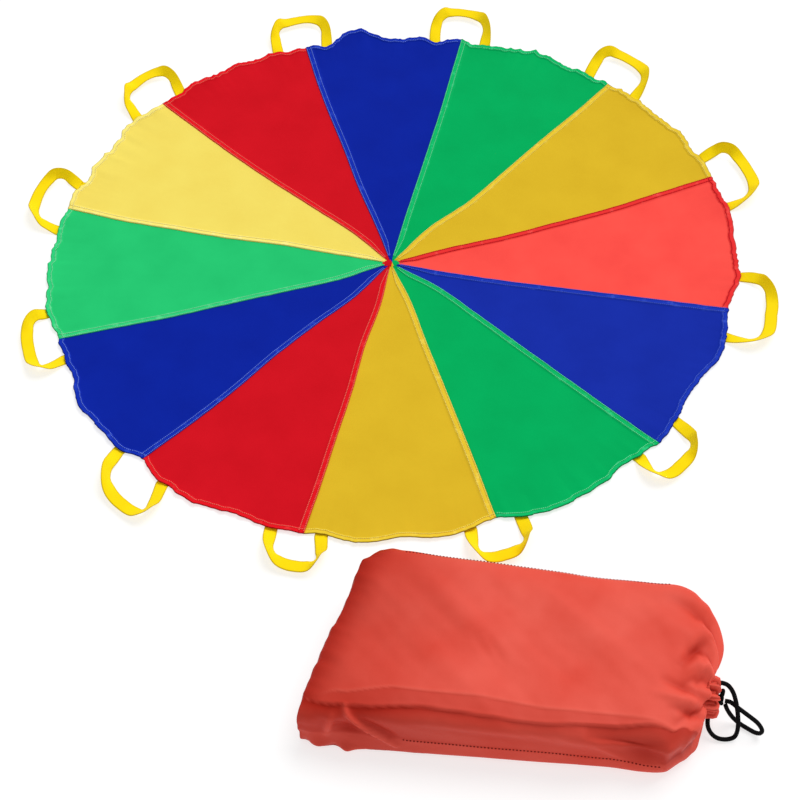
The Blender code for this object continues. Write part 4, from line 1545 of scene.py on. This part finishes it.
# %% [markdown]
# The drawstring is a round braided cord, ten millimetres thick. Strands plaited as shapes would take many
# thousands of faces, so the braid is two sets of threads that cross at a slant in the finish, with painted
# shade in the gaps between them.


# %% Cord finish
cord_roughness = 0.75
cord_specular = 0.06
braid_pitch = 0.0022
braid_slant = 0.6
braid_depth = 0.0008
braid_strength = 0.8
# Painted shade in the gaps between the braid's strands.
cord_gap_shade_color = (0.001, 0.001, 0.001, 1.0)
cord_color = (0.007, 0.007, 0.008, 1.0)


def make_cord_finish():
    material, shader = new_material("cord_black_braid", cord_roughness, cord_specular)
    braid = uv_places(material, "braid")
    sleeves = []
    for slant in (-braid_slant, braid_slant):
        sockets = {"Vector": braid, "Rotation": (0.0, 0.0, slant)}
        slanted = add_node(material, "ShaderNodeMapping", sockets).outputs[0]
        sleeves.append(thread_bands(material, slanted, braid_pitch, "X"))
    sockets = {0: sleeves[0], 1: sleeves[1]}
    plait = add_node(material, "ShaderNodeMath", sockets, operation="MAXIMUM").outputs[0]
    join(material, mix_colors(material, cord_gap_shade_color, cord_color, plait), shader.inputs["Base Color"])
    join(material, bump(material, plait, braid_depth, braid_strength), shader.inputs["Normal"])
    return material


cord_black = make_cord_finish()
print("cord finish:", cord_black.name)

# %% [markdown]
# One bight of the cord leaves the casing and enters it again, the pull loop. The other is tied in a bow whose
# knot sits against the casing. Their routes are the CAD model's own points: the distance out of the casing's
# face, the distance across and the height. A curve with a round bevel would give the cord too, but without
# a UV map in metres, so a grid is rolled up round the route.

# %% Drawstring
cord_diameter = 0.010
cord_around = 12
cord_merge_distance = 0.00001
cut_tip_share = 0.1
casing_length = 0.030
casing_gap = 0.0004
knot_height_share = 0.41
knot_length = 0.0192
pull_loop_route = (
    (0.0005, 0.024, 0.098), (0.012, 0.024, 0.099), (0.024, 0.020, 0.098), (0.035, 0.009, 0.092),
    (0.043, -0.006, 0.081), (0.049, -0.021, 0.064), (0.053, -0.034, 0.044), (0.054, -0.044, 0.024),
    (0.050, -0.052, 0.010), (0.040, -0.057, 0.0056), (0.027, -0.060, 0.0056), (0.013, -0.060, 0.008),
    (0.001, -0.056, 0.014), (-0.008, -0.049, 0.024), (-0.0115, -0.041, 0.0335), (-0.012, -0.0325, 0.0420))
bow_route = (
    (0.0206, 0.000, 0.066), (0.034, -0.002, 0.066), (0.054, -0.012, 0.059), (0.076, -0.023, 0.052),
    (0.095, -0.032, 0.043), (0.106, -0.039, 0.028), (0.103, -0.039, 0.013), (0.092, -0.034, 0.0060),
    (0.076, -0.026, 0.0056), (0.058, -0.017, 0.008), (0.042, -0.010, 0.019), (0.030, -0.005, 0.036),
    (0.0235, -0.002, 0.052))
mouth_out = bag_length * (1.0 - bag_back_share) + casing_gap + casing_length
mouth_across = 0.5 * bag_width * bag_mouth_side_share
cord_matrix = bag_matrix @ Matrix.Translation((mouth_out, mouth_across, 0.0))


def line_points(route, count):
    return [cord_matrix @ Vector(through_points(route, step / (count - 1))) for step in range(count)]


def make_tube(name, points, diameter, round_end=False):
    """A round cord along the points, a grid rolled up round them, with its UV map in metres."""
    stations = len(points) - 1
    shape, column, row = open_grid(cord_around, stations)
    lengths, frames = lengths_along(points), []
    side = up.cross(points[1] - points[0]).normalized()
    for index, point in enumerate(points):
        along = (points[min(index + 1, stations)] - points[max(index - 1, 0)]).normalized()
        side = (side - along * side.dot(along)).normalized()
        frames.append((point, side, along.cross(side)))
    for vert in shape.verts:
        point, across, over = frames[vert[row]]
        angle = 2.0 * math.pi * vert[column] / cord_around
        radius = 0.5 * diameter
        if round_end:
            left = (lengths[-1] - lengths[vert[row]]) / radius
            radius *= blend(math.sqrt(1.0 - (1.0 - min(left, 1.0)) ** 2), 1.0, cut_tip_share)
        vert.co = point + across * (radius * math.cos(angle)) + over * (radius * math.sin(angle))
    girth = math.pi * diameter
    lay_uv(shape, "braid", lambda vert: (girth * vert[column] / cord_around, lengths[vert[row]]))
    bmesh.ops.remove_doubles(shape, verts=shape.verts, dist=cord_merge_distance)
    bmesh.ops.holes_fill(shape, edges=[edge for edge in shape.edges if edge.is_boundary])
    bmesh.ops.recalc_face_normals(shape, faces=shape.faces)
    return piece_from_bmesh(name, shape, cord_black)


print("the casing's face is", round(mouth_out, 3), "m from the middle of the bag's frame")

# %% [markdown]
# The knot is drawn from the cord itself: a line that passes over and under itself three times, pulled tight,
# with a short cut end standing out of it. Its melted tip is round. A ball would be simpler, but a knot is
# known by its crossings. The line is the formula of a trefoil, the plainest knot there is.

# %% Knot and bights
knot_steps = 96
knot_size = 0.0029
knot_depth_share = 1.25
knot_cord_share = 0.92
knot_gap = 0.0004
knot_middle = Vector((knot_gap + 0.5 * knot_length, 0.0, bag_height * knot_height_share))
stub_route = ((0.010, 0.002, 0.068), (0.013, 0.006, 0.078), (0.014, 0.010, 0.087), (0.013, 0.012, 0.094))
stub_points = 16
bight_points = 121

knot_line = []
for step in range(knot_steps + 1):
    turn = 2.0 * math.pi * step / knot_steps
    knot_line.append(cord_matrix @ (knot_middle + knot_size * Vector((
        -knot_depth_share * math.sin(3.0 * turn), math.sin(turn) + 2.0 * math.sin(2.0 * turn),
        math.cos(turn) - 2.0 * math.cos(2.0 * turn)))))
knot = make_tube("knot", knot_line, knot_cord_share * cord_diameter)
stub = make_tube("cord_cut_end", line_points(stub_route, stub_points), cord_diameter, round_end=True)
for piece in (knot, stub):
    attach(piece, "bag")
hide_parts("drawstring_knot")

for name, node, route, far_end in (
        ("pull_loop", "drawstring_pull_loop", pull_loop_route, "object"),
        ("bow", "drawstring_bow", bow_route, "knot")):
    points = line_points(route, bight_points)
    piece = make_tube(name, points, cord_diameter)
    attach(piece, "bag")
    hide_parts(node)

# %% [markdown]
# The floor and the light are plain. The floor is a white table lit from below, as product photographs use,
# which keeps shadows faint. A broad soft sun from the back right shades the bag's front a little, and an even
# white sky does the rest, so that the cloth shows its own colour. Area lamps would do it too, but each would
# have to be placed and sized, and its light would fall off across the canopy.

# %% Floor and light
floor_glow = 0.68
floor_size = 30.0
floor_drop = 0.0010
floor_grey = 0.38
floor_roughness = 0.90
sun_strength = 1.95
sun_spread_deg = 40
towards_sun = Vector((0.75, 0.80, 1.5))
sky_strength = 0.55
white = (1.0, 1.0, 1.0, 1.0)

floor_shape = bmesh.new()
bmesh.ops.create_grid(floor_shape, x_segments=1, y_segments=1, size=floor_size)
bmesh.ops.translate(floor_shape, vec=(0.0, 0.0, -floor_drop), verts=floor_shape.verts)
floor_material, floor_shader = new_material("floor_white", floor_roughness, 0.0)
floor_shader.inputs["Base Color"].default_value = (floor_grey, floor_grey, floor_grey, 1.0)
floor_shader.inputs["Emission Color"].default_value = white
floor_shader.inputs["Emission Strength"].default_value = floor_glow
floor = piece_from_bmesh("floor", floor_shape, floor_material)

sun_data = bpy.data.lights.new("sun", "SUN")
sun_data.energy = sun_strength
sun_data.angle = math.radians(sun_spread_deg)
sun = bpy.data.objects.new("sun", sun_data)
sun.rotation_euler = towards_sun.to_track_quat("Z", "Y").to_euler()
bpy.context.scene.collection.objects.link(sun)

world = bpy.data.worlds.new("sky")
world.use_nodes = True
world.node_tree.nodes["Background"].inputs["Color"].default_value = white
world.node_tree.nodes["Background"].inputs["Strength"].default_value = sky_strength
bpy.context.scene.world = world
bpy.context.scene.view_settings.view_transform = "Standard"
print("light: a sun of", sun_strength, "and a sky of", sky_strength)
